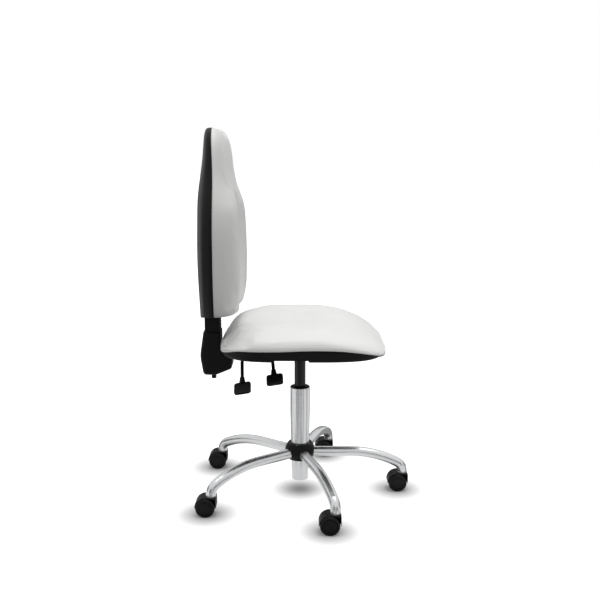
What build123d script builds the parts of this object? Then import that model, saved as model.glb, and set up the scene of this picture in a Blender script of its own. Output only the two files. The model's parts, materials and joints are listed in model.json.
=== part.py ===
from build123d import *
import math
import os

# Swivel office chair on a five-legged tube base.
# Millimetres. The origin is on the floor under the gas column, +X points ahead of the sitter,
# +Y to the sitter's left and +Z up. The chair stands at rest: back upright, seat as lowered by
# hand, every caster trailing.

# ---------------------------------------------------------------- driving sizes

FIT_GAP = 0.05  # radial clearance of every running fit
SOFT_GAP = 0.3  # between a cushion and the board under it
PAINT_GAP = 0.3  # between pieces that move past each other face to face

# base
LEG_COUNT = 5
LEG_DIA = 25.0
LEG_WALL = 1.5
LEG_REACH = 261.0
LEG_HEIGHT = 101.5
LEG_END_HEIGHT = 49.5
LEG_BOW_RADIUS = 270.0
LEG_BOW_ANGLE = 26.0
LEG_KNEE_RADIUS = 26.0
HUB_SLEEVE_DIA = 56.0
HUB_SLEEVE_HEIGHT = 37.0
HUB_COVER_DIA = 74.0
HUB_COVER_HEIGHT = 41.0
HUB_COVER_LIP_DIA = 60.0
HUB_LIFT = 4.0  # middle of the hub above the middle of the legs
HUB_CREST_SHARE = 0.62  # height of the cover's widest level, as a share of its own

# casters
WHEEL_DIA = 46.0
WHEEL_INNER_FACE = 7.2
WHEEL_OUTER_FACE = 22.0
WHEEL_RIM = 4.5
WHEEL_WEB = 3.0
WHEEL_HUB_DIA = 14.0
WHEEL_SHOULDER = 3.8
WHEEL_CAP_DIA = 29.0
WHEEL_GROOVE_WIDTH = 2.0
WHEEL_GROOVE_DEPTH = 1.2
CASTER_TRAIL = 13.0
CASTER_AXLE_DIA = 6.0
CASTER_STEM_DIA = 10.0
CASTER_STEM_GRIP = 12.5
HOOD_GAP = 0.6
HOOD_WALL = 1.6
HOOD_FENDER_WIDTH = 38.0
HOOD_WEB_WIDTH = 13.2
HOOD_FRONT = 12.8
HOOD_FRONT_TOP = 45.6
HOOD_EDGE_RADIUS = 1.2
BUSH_FLANGE = 3.0
BUSH_LENGTH = 14.0

# gas lift
COLUMN_DIA = 50.0
COLUMN_WALL = 2.0
COLUMN_TOP = 271.0
COLUMN_BOTTOM = 31.0
COLUMN_TAPER_TOP = 206.0
COLUMN_TAPER_ANGLE = 1.4
LIFT_STROKE_UP = 45.0
CYLINDER_DIA = 28.0
CYLINDER_WALL = 2.0
CYLINDER_LENGTH = 216.0
CYLINDER_STANDOUT = 2.0  # above its socket
CYLINDER_TAPER_HEIGHT = 30.0
CYLINDER_TAPER_ANGLE = 1.4
GUIDE_LENGTH = 62.0
GUIDE_RIM = 3.0
ROD_DIA = 10.0
ROD_HEAD_ROOM = 8.0
BEARING_DIA = 30.0
BEARING_HEIGHT = 6.0
CLIP_DIA = 20.0
CLIP_THICKNESS = 2.0
FLOOR_PLATE = 3.0
RELEASE_PIN_DIA = 7.0
RELEASE_PIN_REACH = 5.4
RELEASE_PIN_LENGTH = 18.0
RELEASE_PIN_DOME = 2.8

# seat
SEAT_REAR = -188.0
SEAT_FRONT = 203.0
SEAT_HALF_WIDTH = 217.0
SEAT_SEAM_HEIGHT = 411.0
SEAT_NOSE_DROP = 21.0
SEAT_NOSE_START = 40.0
SEAT_TAIL_DROP = 12.0
SEAT_TAIL_START = -130.0
SEAT_BOLSTER_RISE = 42.0
SEAT_HOLLOW_RISE = 29.0
SEAT_HOLLOW_SPAN = 190.0
SEAT_HOLLOW_LENGTH = 300.0
SEAT_HOLLOW_CENTRE = -55.0
SEAT_BOARD_THICKNESS = 12.0
SEAT_BOARD_INSET = 6.0
PAN_HEIGHT = 25.0
PAN_WALL = 3.0
PAN_RIM = 32.0
PAN_EDGE_RADIUS = 9.0
PAN_NOTCH_FRONT = 22.0
PAN_NOTCH_REAR = -62.0
PAN_NOTCH_HEIGHT = 7.5
PAN_NOTCH_DEPTH = 26.0
PAN_NOTCH_SLOPE = 60.0
SEAT_BOLT_SPACING_X = 160.0
SEAT_BOLT_SPACING_Y = 200.0
SEAT_BOLT_DIA = 8.0
SEAT_BOLT_HEAD_DIA = 13.0
SEAT_BOLT_HEAD = 5.0
SEAT_BOLT_ENGAGE = 10.0
PAN_BOSS_DIA = 22.0

# mechanism under the seat
MECH_CENTRE = -15.0
PLATE_THICKNESS = 3.0
PLATE_MARGIN = 12.0
BOX_REAR = -137.0
BOX_FRONT = 45.0
BOX_WIDTH = 76.0
BOX_DEPTH = 37.0
BOX_FLOOR_REAR = -98.0
BOX_SHEET = 3.0
SOCKET_DIA = 40.0
SOCKET_LENGTH = 21.0
SOCKET_STANDOUT = 3.0  # below the box
EAR_DEPTH = 16.0
EAR_HEIGHT = 11.5
EAR_GAP = 24.0
LEVER_PIN_DIA = 5.0

# levers; rises and drops are from the floor of the mechanism box
LEVER_KNEE_REACH = 110.0
LIFT_KNEE_SETBACK = 65.0
LIFT_KNEE_RISE = 23.0
LIFT_PADDLE_SETBACK = 56.0
LIFT_PADDLE_REACH = 215.0
LIFT_PADDLE_DROP = 8.5
LOCK_TIP_SETBACK = 84.0
LOCK_TIP_REACH = 20.0
LOCK_TIP_RISE = 25.0
LOCK_KNEE_SETBACK = 136.5
LOCK_KNEE_RISE = 21.0
LOCK_PADDLE_SETBACK = 127.5
LOCK_PADDLE_REACH = 238.0
LOCK_PADDLE_DROP = 22.5
LEVER_ROD_DIA = 8.0
LEVER_BARREL_DIA = 12.0
PADDLE_LENGTH = 40.0
PADDLE_WIDTH = 38.0
PADDLE_THICKNESS = 7.0
PADDLE_ROLL = 9.0  # degrees, front edge raised
PADDLE_NECK_WIDTH = 11.0
PADDLE_NECK_LENGTH = 20.0
PADDLE_NECK_FLARE = 5.0
PADDLE_SOCKET_DEPTH = 26.0

# back support
PIVOT_X = -118.0
PIVOT_RISE = 10.0  # above the floor of the mechanism box
PIVOT_DIA = 12.0
PIVOT_HEAD = 3.0
PIVOT_HEAD_DIA = 14.0
EYE_DIA = 26.0
BAR_THICKNESS = 8.0
BAR_WIDTH = 40.0
BAR_BEND_RADIUS = 26.0
UPRIGHT_X = -215.0
UPRIGHT_STANDOUT = 80.0  # above the sleeve
SLEEVE_DEPTH = 38.0
SLEEVE_WIDTH = 46.0
SLEEVE_STANDOUT = 50.0  # above the carriage's box
SLEEVE_TOOTH = 1.2
SLEEVE_TOOTH_PITCH = 6.0
SLEEVE_TOOTH_COUNT = 5
BOOT_WIDTH = 64.0
BOOT_RISE = 60.0  # above the pivot
BOOT_WALL = 3.0
BOOT_FRONT_WALL = 1.5
BOOT_HEEL = 31.0
BOOT_TOE = 51.0
BOOT_EDGE_RADIUS = 8.0
BOOT_CORNER_RADIUS = 10.0
BOOT_HEEL_RADIUS = 80.0
BOOT_FLOOR_RISE = 4.0
BOOT_PEG_DIA = 12.0
BOOT_PEG_REACH = 14.0

# back
BACK_RISE = 51.0  # above the seat's seam
BACK_BOTTOM_RADIUS = 780.0
BACK_TRIM = 5.0
BACK_LENGTH = 443.0
BACK_HALF_WIDTH = 203.0
BACK_SEAM_X = -193.0
BACK_LEAN_LENGTH = 175.0
BACK_LEAN = 8.0
BACK_SHELL_DEPTH = 49.0
BACK_SHELL_WALL = 3.0
BACK_BOLSTER_DEPTH = 56.0
BACK_HOLLOW_DEPTH = 38.0
BACK_HOLLOW_SPAN = 200.0
BACK_HOLLOW_LENGTH = 330.0
BACK_HOLLOW_RISE = 148.0
BACK_BOARD_THICKNESS = 9.0
BACK_BOARD_INSET = 6.0
CARRIAGE_DROP = 7.0  # below the back
CARRIAGE_HEIGHT = 55.0
CARRIAGE_WALL = 7.0
CARRIAGE_DEPTH = 46.0
CARRIAGE_FLANGE_HEIGHT = 120.0
CARRIAGE_FLANGE_WIDTH = 90.0
BACK_SCREW_DIA = 6.0
BACK_SCREW_HEAD_DIA = 12.0
BACK_SCREW_HEAD = 3.0
BACK_SCREW_BITE = 7.0
BACK_SCREW_SPACING_Y = 70.0
BACK_SCREW_SPACING_Z = 40.0

# heights that follow: the mechanism hangs from the seat pan, the gas cylinder is pressed into it,
# and the back stands over the seat
PAN_BOTTOM = SEAT_SEAM_HEIGHT - PAN_HEIGHT
BOX_TOP = PAN_BOTTOM - PLATE_THICKNESS
BOX_BOTTOM = BOX_TOP - BOX_DEPTH
SOCKET_BOTTOM = BOX_BOTTOM - SOCKET_STANDOUT
SOCKET_TOP = SOCKET_BOTTOM + SOCKET_LENGTH
CYLINDER_TOP = SOCKET_TOP + CYLINDER_STANDOUT
CYLINDER_BOTTOM = CYLINDER_TOP - CYLINDER_LENGTH
PIVOT_HEIGHT = BOX_BOTTOM + PIVOT_RISE
BOOT_TOP = PIVOT_HEIGHT + BOOT_RISE
BACK_BOTTOM = SEAT_SEAM_HEIGHT + BACK_RISE
BACK_TOP = BACK_BOTTOM + BACK_LENGTH
BACK_LEAN_START = BACK_TOP - BACK_LEAN_LENGTH
BACK_HOLLOW_HEIGHT = BACK_BOTTOM + BACK_HOLLOW_RISE
CARRIAGE_BOTTOM = BACK_BOTTOM - CARRIAGE_DROP
SLEEVE_TOP = CARRIAGE_BOTTOM + CARRIAGE_HEIGHT + SLEEVE_STANDOUT
UPRIGHT_TOP = SLEEVE_TOP + UPRIGHT_STANDOUT

# ---------------------------------------------------------------- helpers


def keep(part, name):
    """Label a finished piece and write it as its own STEP file."""
    part.label = name
    export_step(part, f"parts/{name}.step")


def column_radius(height):
    """Outer radius of the column tube: straight above, tapered below its shoulder."""
    drop = max(0.0, COLUMN_TAPER_TOP - height)
    return COLUMN_DIA / 2 - drop * math.tan(math.radians(COLUMN_TAPER_ANGLE))


def leg_plane(index):
    """Upright plane of one leg: local x runs outwards, local y runs up."""
    turn = math.radians(index * 360.0 / LEG_COUNT)
    return Plane(
        origin=(0, 0, 0),
        x_dir=(math.cos(turn), math.sin(turn), 0),
        z_dir=(math.sin(turn), -math.cos(turn), 0),
    )


def stem_place(index):
    """Floor point under one caster stem."""
    turn = math.radians(index * 360.0 / LEG_COUNT)
    return (LEG_REACH * math.cos(turn), LEG_REACH * math.sin(turn))


# ---------------------------------------------------------------- base

hub_bottom = LEG_HEIGHT - HUB_COVER_HEIGHT / 2 + HUB_LIFT
sleeve_bottom = LEG_HEIGHT - HUB_SLEEVE_HEIGHT / 2 + HUB_LIFT


def make_hub_sleeve():
    """Steel sleeve that the legs are welded to, with the taper seat for the column."""
    top = sleeve_bottom + HUB_SLEEVE_HEIGHT
    with BuildPart() as sleeve:
        with BuildSketch(Plane.XZ):
            with BuildLine():
                Polyline(
                    (column_radius(sleeve_bottom), sleeve_bottom),
                    (HUB_SLEEVE_DIA / 2, sleeve_bottom),
                    (HUB_SLEEVE_DIA / 2, top),
                    (column_radius(top), top),
                    close=True,
                )
            make_face()
        revolve(axis=Axis.Z)
    return sleeve.part


def make_leg(index):
    """Bent tube leg: level at the hub, bowed, then turned down to the caster."""
    bow = math.radians(LEG_BOW_ANGLE)
    knee_out = LEG_REACH - LEG_KNEE_RADIUS * (1 - math.sin(bow))
    knee_height = LEG_END_HEIGHT + LEG_KNEE_RADIUS * math.cos(bow)
    bow_drop = LEG_BOW_RADIUS * (1 - math.cos(bow))
    run = (LEG_HEIGHT - bow_drop - knee_height) / math.sin(bow)
    bow_start = knee_out - run * math.cos(bow) - LEG_BOW_RADIUS * math.sin(bow)
    root = HUB_SLEEVE_DIA / 2 - LEG_WALL * 2
    with BuildPart() as leg:
        with BuildLine(leg_plane(index)) as path:
            level = Line((root, LEG_HEIGHT), (bow_start, LEG_HEIGHT))
            arc = JernArc(level @ 1, level % 1, LEG_BOW_RADIUS, -LEG_BOW_ANGLE)
            slope = Line(arc @ 1, (arc @ 1) + (arc % 1) * run)
            JernArc(slope @ 1, slope % 1, LEG_KNEE_RADIUS, LEG_BOW_ANGLE - 90)
        with BuildSketch(Plane(origin=path.line @ 0, z_dir=path.line % 0)):
            Circle(LEG_DIA / 2)
            Circle(LEG_DIA / 2 - LEG_WALL, mode=Mode.SUBTRACT)
        sweep()
        with BuildSketch(Plane.XY.offset(LEG_HEIGHT - LEG_DIA)):
            Circle(HUB_SLEEVE_DIA / 2)
        extrude(amount=2 * LEG_DIA, mode=Mode.SUBTRACT)
    return leg.part


def make_hub_cover(upper):
    """One half of the moulded cover that closes round the sleeve and the legs."""
    top = hub_bottom + HUB_COVER_HEIGHT
    inner = HUB_SLEEVE_DIA / 2
    lip = HUB_COVER_LIP_DIA / 2
    with BuildPart() as cover:
        with BuildSketch(Plane.XZ):
            with BuildLine():
                Line((inner, hub_bottom), (lip, hub_bottom))
                ThreePointArc(
                    (lip, hub_bottom),
                    (HUB_COVER_DIA / 2, hub_bottom + HUB_COVER_HEIGHT * HUB_CREST_SHARE),
                    (lip, top),
                )
                Polyline((lip, top), (inner, top), (inner, hub_bottom))
            make_face()
        revolve(axis=Axis.Z)
        with Locations(*[leg_plane(index).location for index in range(LEG_COUNT)]):
            with Locations(Location((HUB_COVER_DIA / 2, LEG_HEIGHT, 0), (0, 90, 0))):
                Cylinder(LEG_DIA / 2, HUB_COVER_DIA, mode=Mode.SUBTRACT)
        split(bisect_by=Plane.XY.offset(LEG_HEIGHT), keep=Keep.TOP if upper else Keep.BOTTOM)
    return cover.part


def make_leg_end_bushes():
    """Plugs in the leg ends: a flange under the tube and a bore for the caster stem."""
    inner = LEG_DIA / 2 - LEG_WALL
    turn = math.degrees(math.asin(BUSH_LENGTH / LEG_KNEE_RADIUS))
    with BuildPart() as bushes:
        for index in range(LEG_COUNT):
            plane = leg_plane(index)
            x, y = stem_place(index)
            knee = plane.from_local_coords((LEG_REACH - LEG_KNEE_RADIUS, LEG_END_HEIGHT, 0))
            with BuildSketch(Plane.XY.offset(LEG_END_HEIGHT)):
                with Locations((x, y)):
                    Circle(inner)
            revolve(axis=Axis(knee, plane.z_dir), revolution_arc=turn)
            with BuildSketch(Plane.XY.offset(LEG_END_HEIGHT - BUSH_FLANGE)):
                with Locations((x, y)):
                    Circle(LEG_DIA / 2)
            extrude(amount=BUSH_FLANGE)
            with BuildSketch(Plane.XY.offset(LEG_END_HEIGHT - BUSH_FLANGE)):
                with Locations((x, y)):
                    Circle(CASTER_STEM_DIA / 2 + FIT_GAP)
            extrude(amount=BUSH_FLANGE + CASTER_STEM_GRIP, mode=Mode.SUBTRACT)
    return bushes.part


# ---------------------------------------------------------------- casters, stem axis at x = y = 0

wheel_radius = WHEEL_DIA / 2
hood_radius = wheel_radius + HOOD_GAP + HOOD_WALL
stem_shoulder = LEG_END_HEIGHT - BUSH_FLANGE - PAINT_GAP


def make_caster_wheel(side):
    """One of the twin wheels; side is +1 or -1 along Y."""
    bore = CASTER_AXLE_DIA / 2 + FIT_GAP
    rim_inner = wheel_radius - WHEEL_RIM
    web_inner = WHEEL_OUTER_FACE - WHEEL_WEB
    cap = WHEEL_CAP_DIA / 2
    groove = WHEEL_OUTER_FACE - WHEEL_GROOVE_DEPTH
    with BuildPart() as wheel:
        with BuildSketch(Plane.YZ.offset(-CASTER_TRAIL)):
            with BuildLine():
                Polyline(
                    (side * WHEEL_INNER_FACE, wheel_radius + bore),
                    (side * WHEEL_INNER_FACE, wheel_radius + WHEEL_HUB_DIA / 2),
                    (side * web_inner, wheel_radius + WHEEL_HUB_DIA / 2),
                    (side * web_inner, wheel_radius + rim_inner),
                    (side * WHEEL_INNER_FACE, wheel_radius + rim_inner),
                    (side * WHEEL_INNER_FACE, WHEEL_DIA),
                    (side * (WHEEL_OUTER_FACE - WHEEL_SHOULDER), WHEEL_DIA),
                )
                ThreePointArc(
                    (side * (WHEEL_OUTER_FACE - WHEEL_SHOULDER), WHEEL_DIA),
                    (
                        side * (WHEEL_OUTER_FACE - WHEEL_SHOULDER * (1 - math.sin(math.pi / 4))),
                        WHEEL_DIA - WHEEL_SHOULDER * (1 - math.cos(math.pi / 4)),
                    ),
                    (side * WHEEL_OUTER_FACE, WHEEL_DIA - WHEEL_SHOULDER),
                )
                Polyline(
                    (side * WHEEL_OUTER_FACE, WHEEL_DIA - WHEEL_SHOULDER),
                    (side * WHEEL_OUTER_FACE, wheel_radius + cap + WHEEL_GROOVE_WIDTH),
                    (side * groove, wheel_radius + cap + WHEEL_GROOVE_WIDTH),
                    (side * groove, wheel_radius + cap),
                    (side * WHEEL_OUTER_FACE, wheel_radius + cap),
                    (side * WHEEL_OUTER_FACE, wheel_radius),
                    (side * (web_inner + WHEEL_WEB / 2), wheel_radius),
                    (side * (web_inner + WHEEL_WEB / 2), wheel_radius + bore),
                    (side * WHEEL_INNER_FACE, wheel_radius + bore),
                )
            make_face()
        revolve(axis=Axis((-CASTER_TRAIL, 0, wheel_radius), (0, 1, 0)))
    return wheel.part


def hood_side(shrink):
    """Side profile of the hood: fender arc, tangent sloping top and upright front wall."""
    radius = hood_radius - shrink
    front = HOOD_FRONT - shrink
    front_top = HOOD_FRONT_TOP - shrink
    rise = front_top - wheel_radius
    run = front + CASTER_TRAIL
    crown = math.atan2(rise, run) + math.acos(radius / math.hypot(run, rise))
    shoulder = (crown + math.pi) / 2
    tangent_point = (radius * math.cos(crown) - CASTER_TRAIL, wheel_radius + radius * math.sin(crown))
    arc_middle = (
        radius * math.cos(shoulder) - CASTER_TRAIL,
        wheel_radius + radius * math.sin(shoulder),
    )
    arc_end = (-CASTER_TRAIL - radius, wheel_radius)
    with BuildSketch() as side:
        with BuildLine():
            Line((front, wheel_radius), (front, front_top))
            Line((front, front_top), tangent_point)
            ThreePointArc(tangent_point, arc_middle, arc_end)
            Line(arc_end, (front, wheel_radius))
        make_face()
    return side.sketch


def make_caster_hood():
    """Moulded hood: a centre web with the stem and axle bores under a fender."""
    web = HOOD_WEB_WIDTH / 2
    fender = HOOD_FENDER_WIDTH / 2
    with BuildPart() as hood:
        with BuildSketch(Plane.XZ):
            add(hood_side(0))
        extrude(amount=fender)
        rims = hood.edges().filter_by(
            lambda edge: edge.center().Y < -web and edge.center().Z > wheel_radius + HOOD_WALL
        )
        fillet(rims, HOOD_EDGE_RADIUS)
        with BuildSketch(Plane.XZ.offset(web)):
            add(hood_side(HOOD_WALL))
        extrude(amount=fender, mode=Mode.SUBTRACT)
        mirror(about=Plane.XZ)
        with Locations(Location((-CASTER_TRAIL, 0, wheel_radius), (90, 0, 0))):
            Cylinder(CASTER_AXLE_DIA, HOOD_WEB_WIDTH)
            Cylinder(CASTER_AXLE_DIA / 2, HOOD_WEB_WIDTH, mode=Mode.SUBTRACT)
        with BuildSketch(Plane.XY.offset(stem_shoulder)):
            Circle(LEG_DIA / 2 + 2 * PAINT_GAP)
        extrude(amount=LEG_DIA, mode=Mode.SUBTRACT)
        with BuildSketch(Plane.XY.offset(wheel_radius + CASTER_STEM_DIA / 2)):
            Circle(CASTER_STEM_DIA / 2)
        extrude(amount=LEG_DIA, mode=Mode.SUBTRACT)
    return hood.part


def make_caster_pins():
    """The swivel stem with its collar, and the wheel axle."""
    seat = wheel_radius + CASTER_STEM_DIA / 2
    with BuildPart() as pins:
        with BuildSketch(Plane.XY.offset(seat)):
            Circle(CASTER_STEM_DIA / 2)
        extrude(amount=LEG_END_HEIGHT + CASTER_STEM_GRIP - PAINT_GAP - seat)
        with Locations(Location((-CASTER_TRAIL, 0, wheel_radius), (90, 0, 0))):
            Cylinder(CASTER_AXLE_DIA / 2, 2 * (WHEEL_OUTER_FACE - WHEEL_WEB))
    return pins.part


# ---------------------------------------------------------------- gas lift

plate_bottom = COLUMN_BOTTOM + CLIP_THICKNESS + 2 * FLOOR_PLATE
bearing_bottom = plate_bottom + FLOOR_PLATE
collar_bottom = bearing_bottom + BEARING_HEIGHT + FIT_GAP
guide_bottom = COLUMN_TOP - GUIDE_LENGTH
valve_bottom = CYLINDER_TOP + RELEASE_PIN_REACH - RELEASE_PIN_LENGTH
cylinder_inner = CYLINDER_DIA / 2 - CYLINDER_WALL


def cylinder_radius(height):
    """Outer radius of the pressure cylinder, tapered at the top for the mechanism's socket."""
    rise = max(0.0, height - (CYLINDER_TOP - CYLINDER_TAPER_HEIGHT))
    return CYLINDER_DIA / 2 - rise * math.tan(math.radians(CYLINDER_TAPER_ANGLE))


def turned(points):
    """Solid of revolution about Z from (radius, height) corner points."""
    with BuildPart() as body:
        with BuildSketch(Plane.XZ):
            with BuildLine():
                Polyline(*points, close=True)
            make_face()
        revolve(axis=Axis.Z)
    return body.part


def make_column_tube():
    """Chromed outer tube with its tapered foot and the plate that carries the bearing."""
    hole = ROD_DIA / 2 + FIT_GAP
    return turned(
        [
            (column_radius(COLUMN_BOTTOM), COLUMN_BOTTOM),
            (COLUMN_DIA / 2, COLUMN_TAPER_TOP),
            (COLUMN_DIA / 2, COLUMN_TOP),
            (COLUMN_DIA / 2 - COLUMN_WALL, COLUMN_TOP),
            (COLUMN_DIA / 2 - COLUMN_WALL, COLUMN_TAPER_TOP),
            (column_radius(bearing_bottom) - COLUMN_WALL, bearing_bottom),
            (hole, bearing_bottom),
            (hole, plate_bottom),
            (column_radius(plate_bottom) - COLUMN_WALL, plate_bottom),
            (column_radius(COLUMN_BOTTOM) - COLUMN_WALL, COLUMN_BOTTOM),
        ]
    )


def make_column_guide():
    """Plastic guide in the top of the column, with the rim that shows above it."""
    bore = CYLINDER_DIA / 2 + FIT_GAP
    outer = COLUMN_DIA / 2 - COLUMN_WALL
    return turned(
        [
            (bore, guide_bottom),
            (outer, guide_bottom),
            (outer, COLUMN_TOP),
            (COLUMN_DIA / 2 - COLUMN_WALL / 2, COLUMN_TOP),
            (COLUMN_DIA / 2 - COLUMN_WALL / 2, COLUMN_TOP + GUIDE_RIM / 2),
            (outer - GUIDE_RIM, COLUMN_TOP + GUIDE_RIM),
            (bore, COLUMN_TOP + GUIDE_RIM),
        ]
    )


def make_thrust_bearing():
    """Bearing ring on the column's floor plate that the piston rod turns on."""
    bore = ROD_DIA / 2 + FIT_GAP
    top = bearing_bottom + BEARING_HEIGHT
    return turned(
        [
            (bore, bearing_bottom),
            (BEARING_DIA / 2, bearing_bottom),
            (BEARING_DIA / 2, top),
            (bore, top),
        ]
    )


def make_piston_rod():
    """Piston rod that stands on the bearing, with its collar, clip groove and piston head."""
    head_bottom = guide_bottom + ROD_HEAD_ROOM + LIFT_STROKE_UP / 2
    head = cylinder_inner - FIT_GAP
    rod = ROD_DIA / 2
    return turned(
        [
            (0, COLUMN_BOTTOM),
            (rod, COLUMN_BOTTOM),
            (rod, collar_bottom),
            (rod + FLOOR_PLATE, collar_bottom),
            (rod + FLOOR_PLATE, collar_bottom + FLOOR_PLATE),
            (rod, collar_bottom + FLOOR_PLATE),
            (rod, head_bottom),
            (head, head_bottom),
            (head, head_bottom + ROD_DIA),
            (0, head_bottom + ROD_DIA),
        ]
    )


def make_rod_clip():
    """Retaining clip on the rod, under the column's floor plate."""
    top = plate_bottom - PAINT_GAP
    return turned(
        [
            (ROD_DIA / 2, top - CLIP_THICKNESS),
            (CLIP_DIA / 2, top - CLIP_THICKNESS),
            (CLIP_DIA / 2, top),
            (ROD_DIA / 2, top),
        ]
    )


def make_gas_cylinder():
    """Pressure cylinder: rod seal at the foot, valve bore and taper at the top."""
    valve = RELEASE_PIN_DIA / 2 + FIT_GAP
    valve_floor = valve_bottom - RELEASE_PIN_REACH
    chamber_top = valve_floor - 2 * CYLINDER_WALL
    seal = ROD_DIA / 2 + FIT_GAP
    return turned(
        [
            (seal, CYLINDER_BOTTOM),
            (CYLINDER_DIA / 2, CYLINDER_BOTTOM),
            (CYLINDER_DIA / 2, CYLINDER_TOP - CYLINDER_TAPER_HEIGHT),
            (cylinder_radius(CYLINDER_TOP), CYLINDER_TOP),
            (valve, CYLINDER_TOP),
            (valve, valve_floor),
            (0, valve_floor),
            (0, chamber_top),
            (cylinder_inner, chamber_top),
            (cylinder_inner, CYLINDER_BOTTOM + 2 * CYLINDER_WALL),
            (seal, CYLINDER_BOTTOM + 2 * CYLINDER_WALL),
        ]
    )


def make_release_pin():
    """Domed pin on top of the cylinder that opens the gas valve."""
    radius = RELEASE_PIN_DIA / 2
    top = CYLINDER_TOP + RELEASE_PIN_REACH
    with BuildPart() as pin:
        with BuildSketch(Plane.XY.offset(valve_bottom)):
            Circle(radius)
        extrude(amount=top - valve_bottom)
        fillet(pin.edges().sort_by(Axis.Z)[-1], RELEASE_PIN_DOME)
    return pin.part


# ---------------------------------------------------------------- mechanism

wall_outer = -BOX_WIDTH / 2
ear_pin_y = wall_outer - EAR_DEPTH + LEVER_BARREL_DIA / 2

# Corner points of each lever rod: inner tip, knee outside the box, outer end of the paddle.
lever_height = CYLINDER_TOP + RELEASE_PIN_REACH + 2 * PAINT_GAP + LEVER_ROD_DIA / 2
lift_tip = Vector(0, RELEASE_PIN_DIA / 2, lever_height)
lift_knee = Vector(-LIFT_KNEE_SETBACK, -LEVER_KNEE_REACH, BOX_BOTTOM + LIFT_KNEE_RISE)
lift_end = Vector(-LIFT_PADDLE_SETBACK, -LIFT_PADDLE_REACH, BOX_BOTTOM - LIFT_PADDLE_DROP)
lock_tip = Vector(-LOCK_TIP_SETBACK, -LOCK_TIP_REACH, BOX_BOTTOM + LOCK_TIP_RISE)
lock_knee = Vector(-LOCK_KNEE_SETBACK, -LEVER_KNEE_REACH, BOX_BOTTOM + LOCK_KNEE_RISE)
lock_end = Vector(-LOCK_PADDLE_SETBACK, -LOCK_PADDLE_REACH, BOX_BOTTOM - LOCK_PADDLE_DROP)


def lever_pivot(tip, knee):
    """Point where a lever rod crosses its pivot pin, between the ears of the box."""
    share = (ear_pin_y - tip.Y) / (knee.Y - tip.Y)
    return tip + (knee - tip) * share


lift_pivot = lever_pivot(lift_tip, lift_knee)
lock_pivot = lever_pivot(lock_tip, lock_knee)


def bolt_places():
    """Centres of the four seat bolts."""
    return GridLocations(SEAT_BOLT_SPACING_X, SEAT_BOLT_SPACING_Y, 2, 2)


def make_mechanism_plate():
    """Top plate of the mechanism, bolted up to the seat board."""
    with BuildPart() as plate:
        with BuildSketch(Plane.XY.offset(BOX_TOP)):
            with Locations((MECH_CENTRE, 0)):
                RectangleRounded(
                    SEAT_BOLT_SPACING_X + 2 * PLATE_MARGIN,
                    SEAT_BOLT_SPACING_Y + 2 * PLATE_MARGIN,
                    PLATE_MARGIN,
                )
                with bolt_places():
                    Circle(SEAT_BOLT_DIA / 2, mode=Mode.SUBTRACT)
        extrude(amount=PLATE_THICKNESS)
    return plate.part


def make_mechanism_box():
    """Pressed box under the plate: floor, side walls, front wall and the lever ears."""
    length = BOX_FRONT - BOX_REAR
    middle = (BOX_FRONT + BOX_REAR) / 2
    with BuildPart() as box:
        with BuildSketch(Plane.XY.offset(BOX_BOTTOM)):
            with Locations((middle, 0)):
                Rectangle(length, BOX_WIDTH)
        extrude(amount=BOX_TOP - BOX_BOTTOM)
        with BuildSketch(Plane.XY.offset(BOX_BOTTOM + BOX_SHEET)):
            with Locations((middle - BOX_SHEET, 0)):
                Rectangle(length, BOX_WIDTH - 2 * BOX_SHEET)
        extrude(amount=BOX_TOP, mode=Mode.SUBTRACT)
        with BuildSketch(Plane.XY.offset(BOX_BOTTOM)):
            with Locations(((BOX_REAR + BOX_FLOOR_REAR) / 2, 0)):
                Rectangle(BOX_FLOOR_REAR - BOX_REAR, BOX_WIDTH - 2 * BOX_SHEET)
        extrude(amount=BOX_SHEET, mode=Mode.SUBTRACT)
        for pivot in (lift_pivot, lock_pivot):
            with BuildSketch(Plane.XY.offset(pivot.Z - EAR_HEIGHT / 2)):
                for side in (1, -1):
                    with Locations(
                        (
                            pivot.X + side * (EAR_GAP + BOX_SHEET) / 2,
                            wall_outer - EAR_DEPTH / 2,
                        )
                    ):
                        Rectangle(BOX_SHEET, EAR_DEPTH)
            extrude(amount=EAR_HEIGHT)
            with Locations(Location(pivot, (0, 90, 0))):
                Cylinder(LEVER_PIN_DIA / 2, EAR_GAP + 2 * BOX_SHEET, mode=Mode.SUBTRACT)
        for tip, knee in ((lift_tip, lift_knee), (lock_tip, lock_knee)):
            crossing = tip + (knee - tip) * ((wall_outer - tip.Y) / (knee.Y - tip.Y))
            with Locations(Location(crossing, (90, 0, 0))):
                Cylinder(LEVER_ROD_DIA, 3 * BOX_SHEET, mode=Mode.SUBTRACT)
        with Locations(Location((PIVOT_X, 0, PIVOT_HEIGHT), (90, 0, 0))):
            Cylinder(PIVOT_DIA / 2, BOX_WIDTH, mode=Mode.SUBTRACT)
        with Locations((0, 0, BOX_BOTTOM)):
            Cylinder(SOCKET_DIA / 2, 3 * BOX_SHEET, mode=Mode.SUBTRACT)
    return box.part


def make_taper_socket():
    """Conical socket in the box floor that the cylinder's taper is pressed into."""
    return turned(
        [
            (cylinder_radius(SOCKET_BOTTOM), SOCKET_BOTTOM),
            (SOCKET_DIA / 2, SOCKET_BOTTOM),
            (SOCKET_DIA / 2, SOCKET_TOP),
            (cylinder_radius(SOCKET_TOP), SOCKET_TOP),
        ]
    )


def make_recline_pin():
    """Headed cross pin that the back bar hinges on."""
    with BuildPart() as pin:
        with Locations(Location((PIVOT_X, 0, PIVOT_HEIGHT), (90, 0, 0))):
            Cylinder(PIVOT_DIA / 2, BOX_WIDTH)
        for side in (1, -1):
            y = side * (BOX_WIDTH + PIVOT_HEAD) / 2
            with Locations(Location((PIVOT_X, y, PIVOT_HEIGHT), (90, 0, 0))):
                Cylinder(PIVOT_HEAD_DIA / 2, PIVOT_HEAD)
    return pin.part


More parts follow.
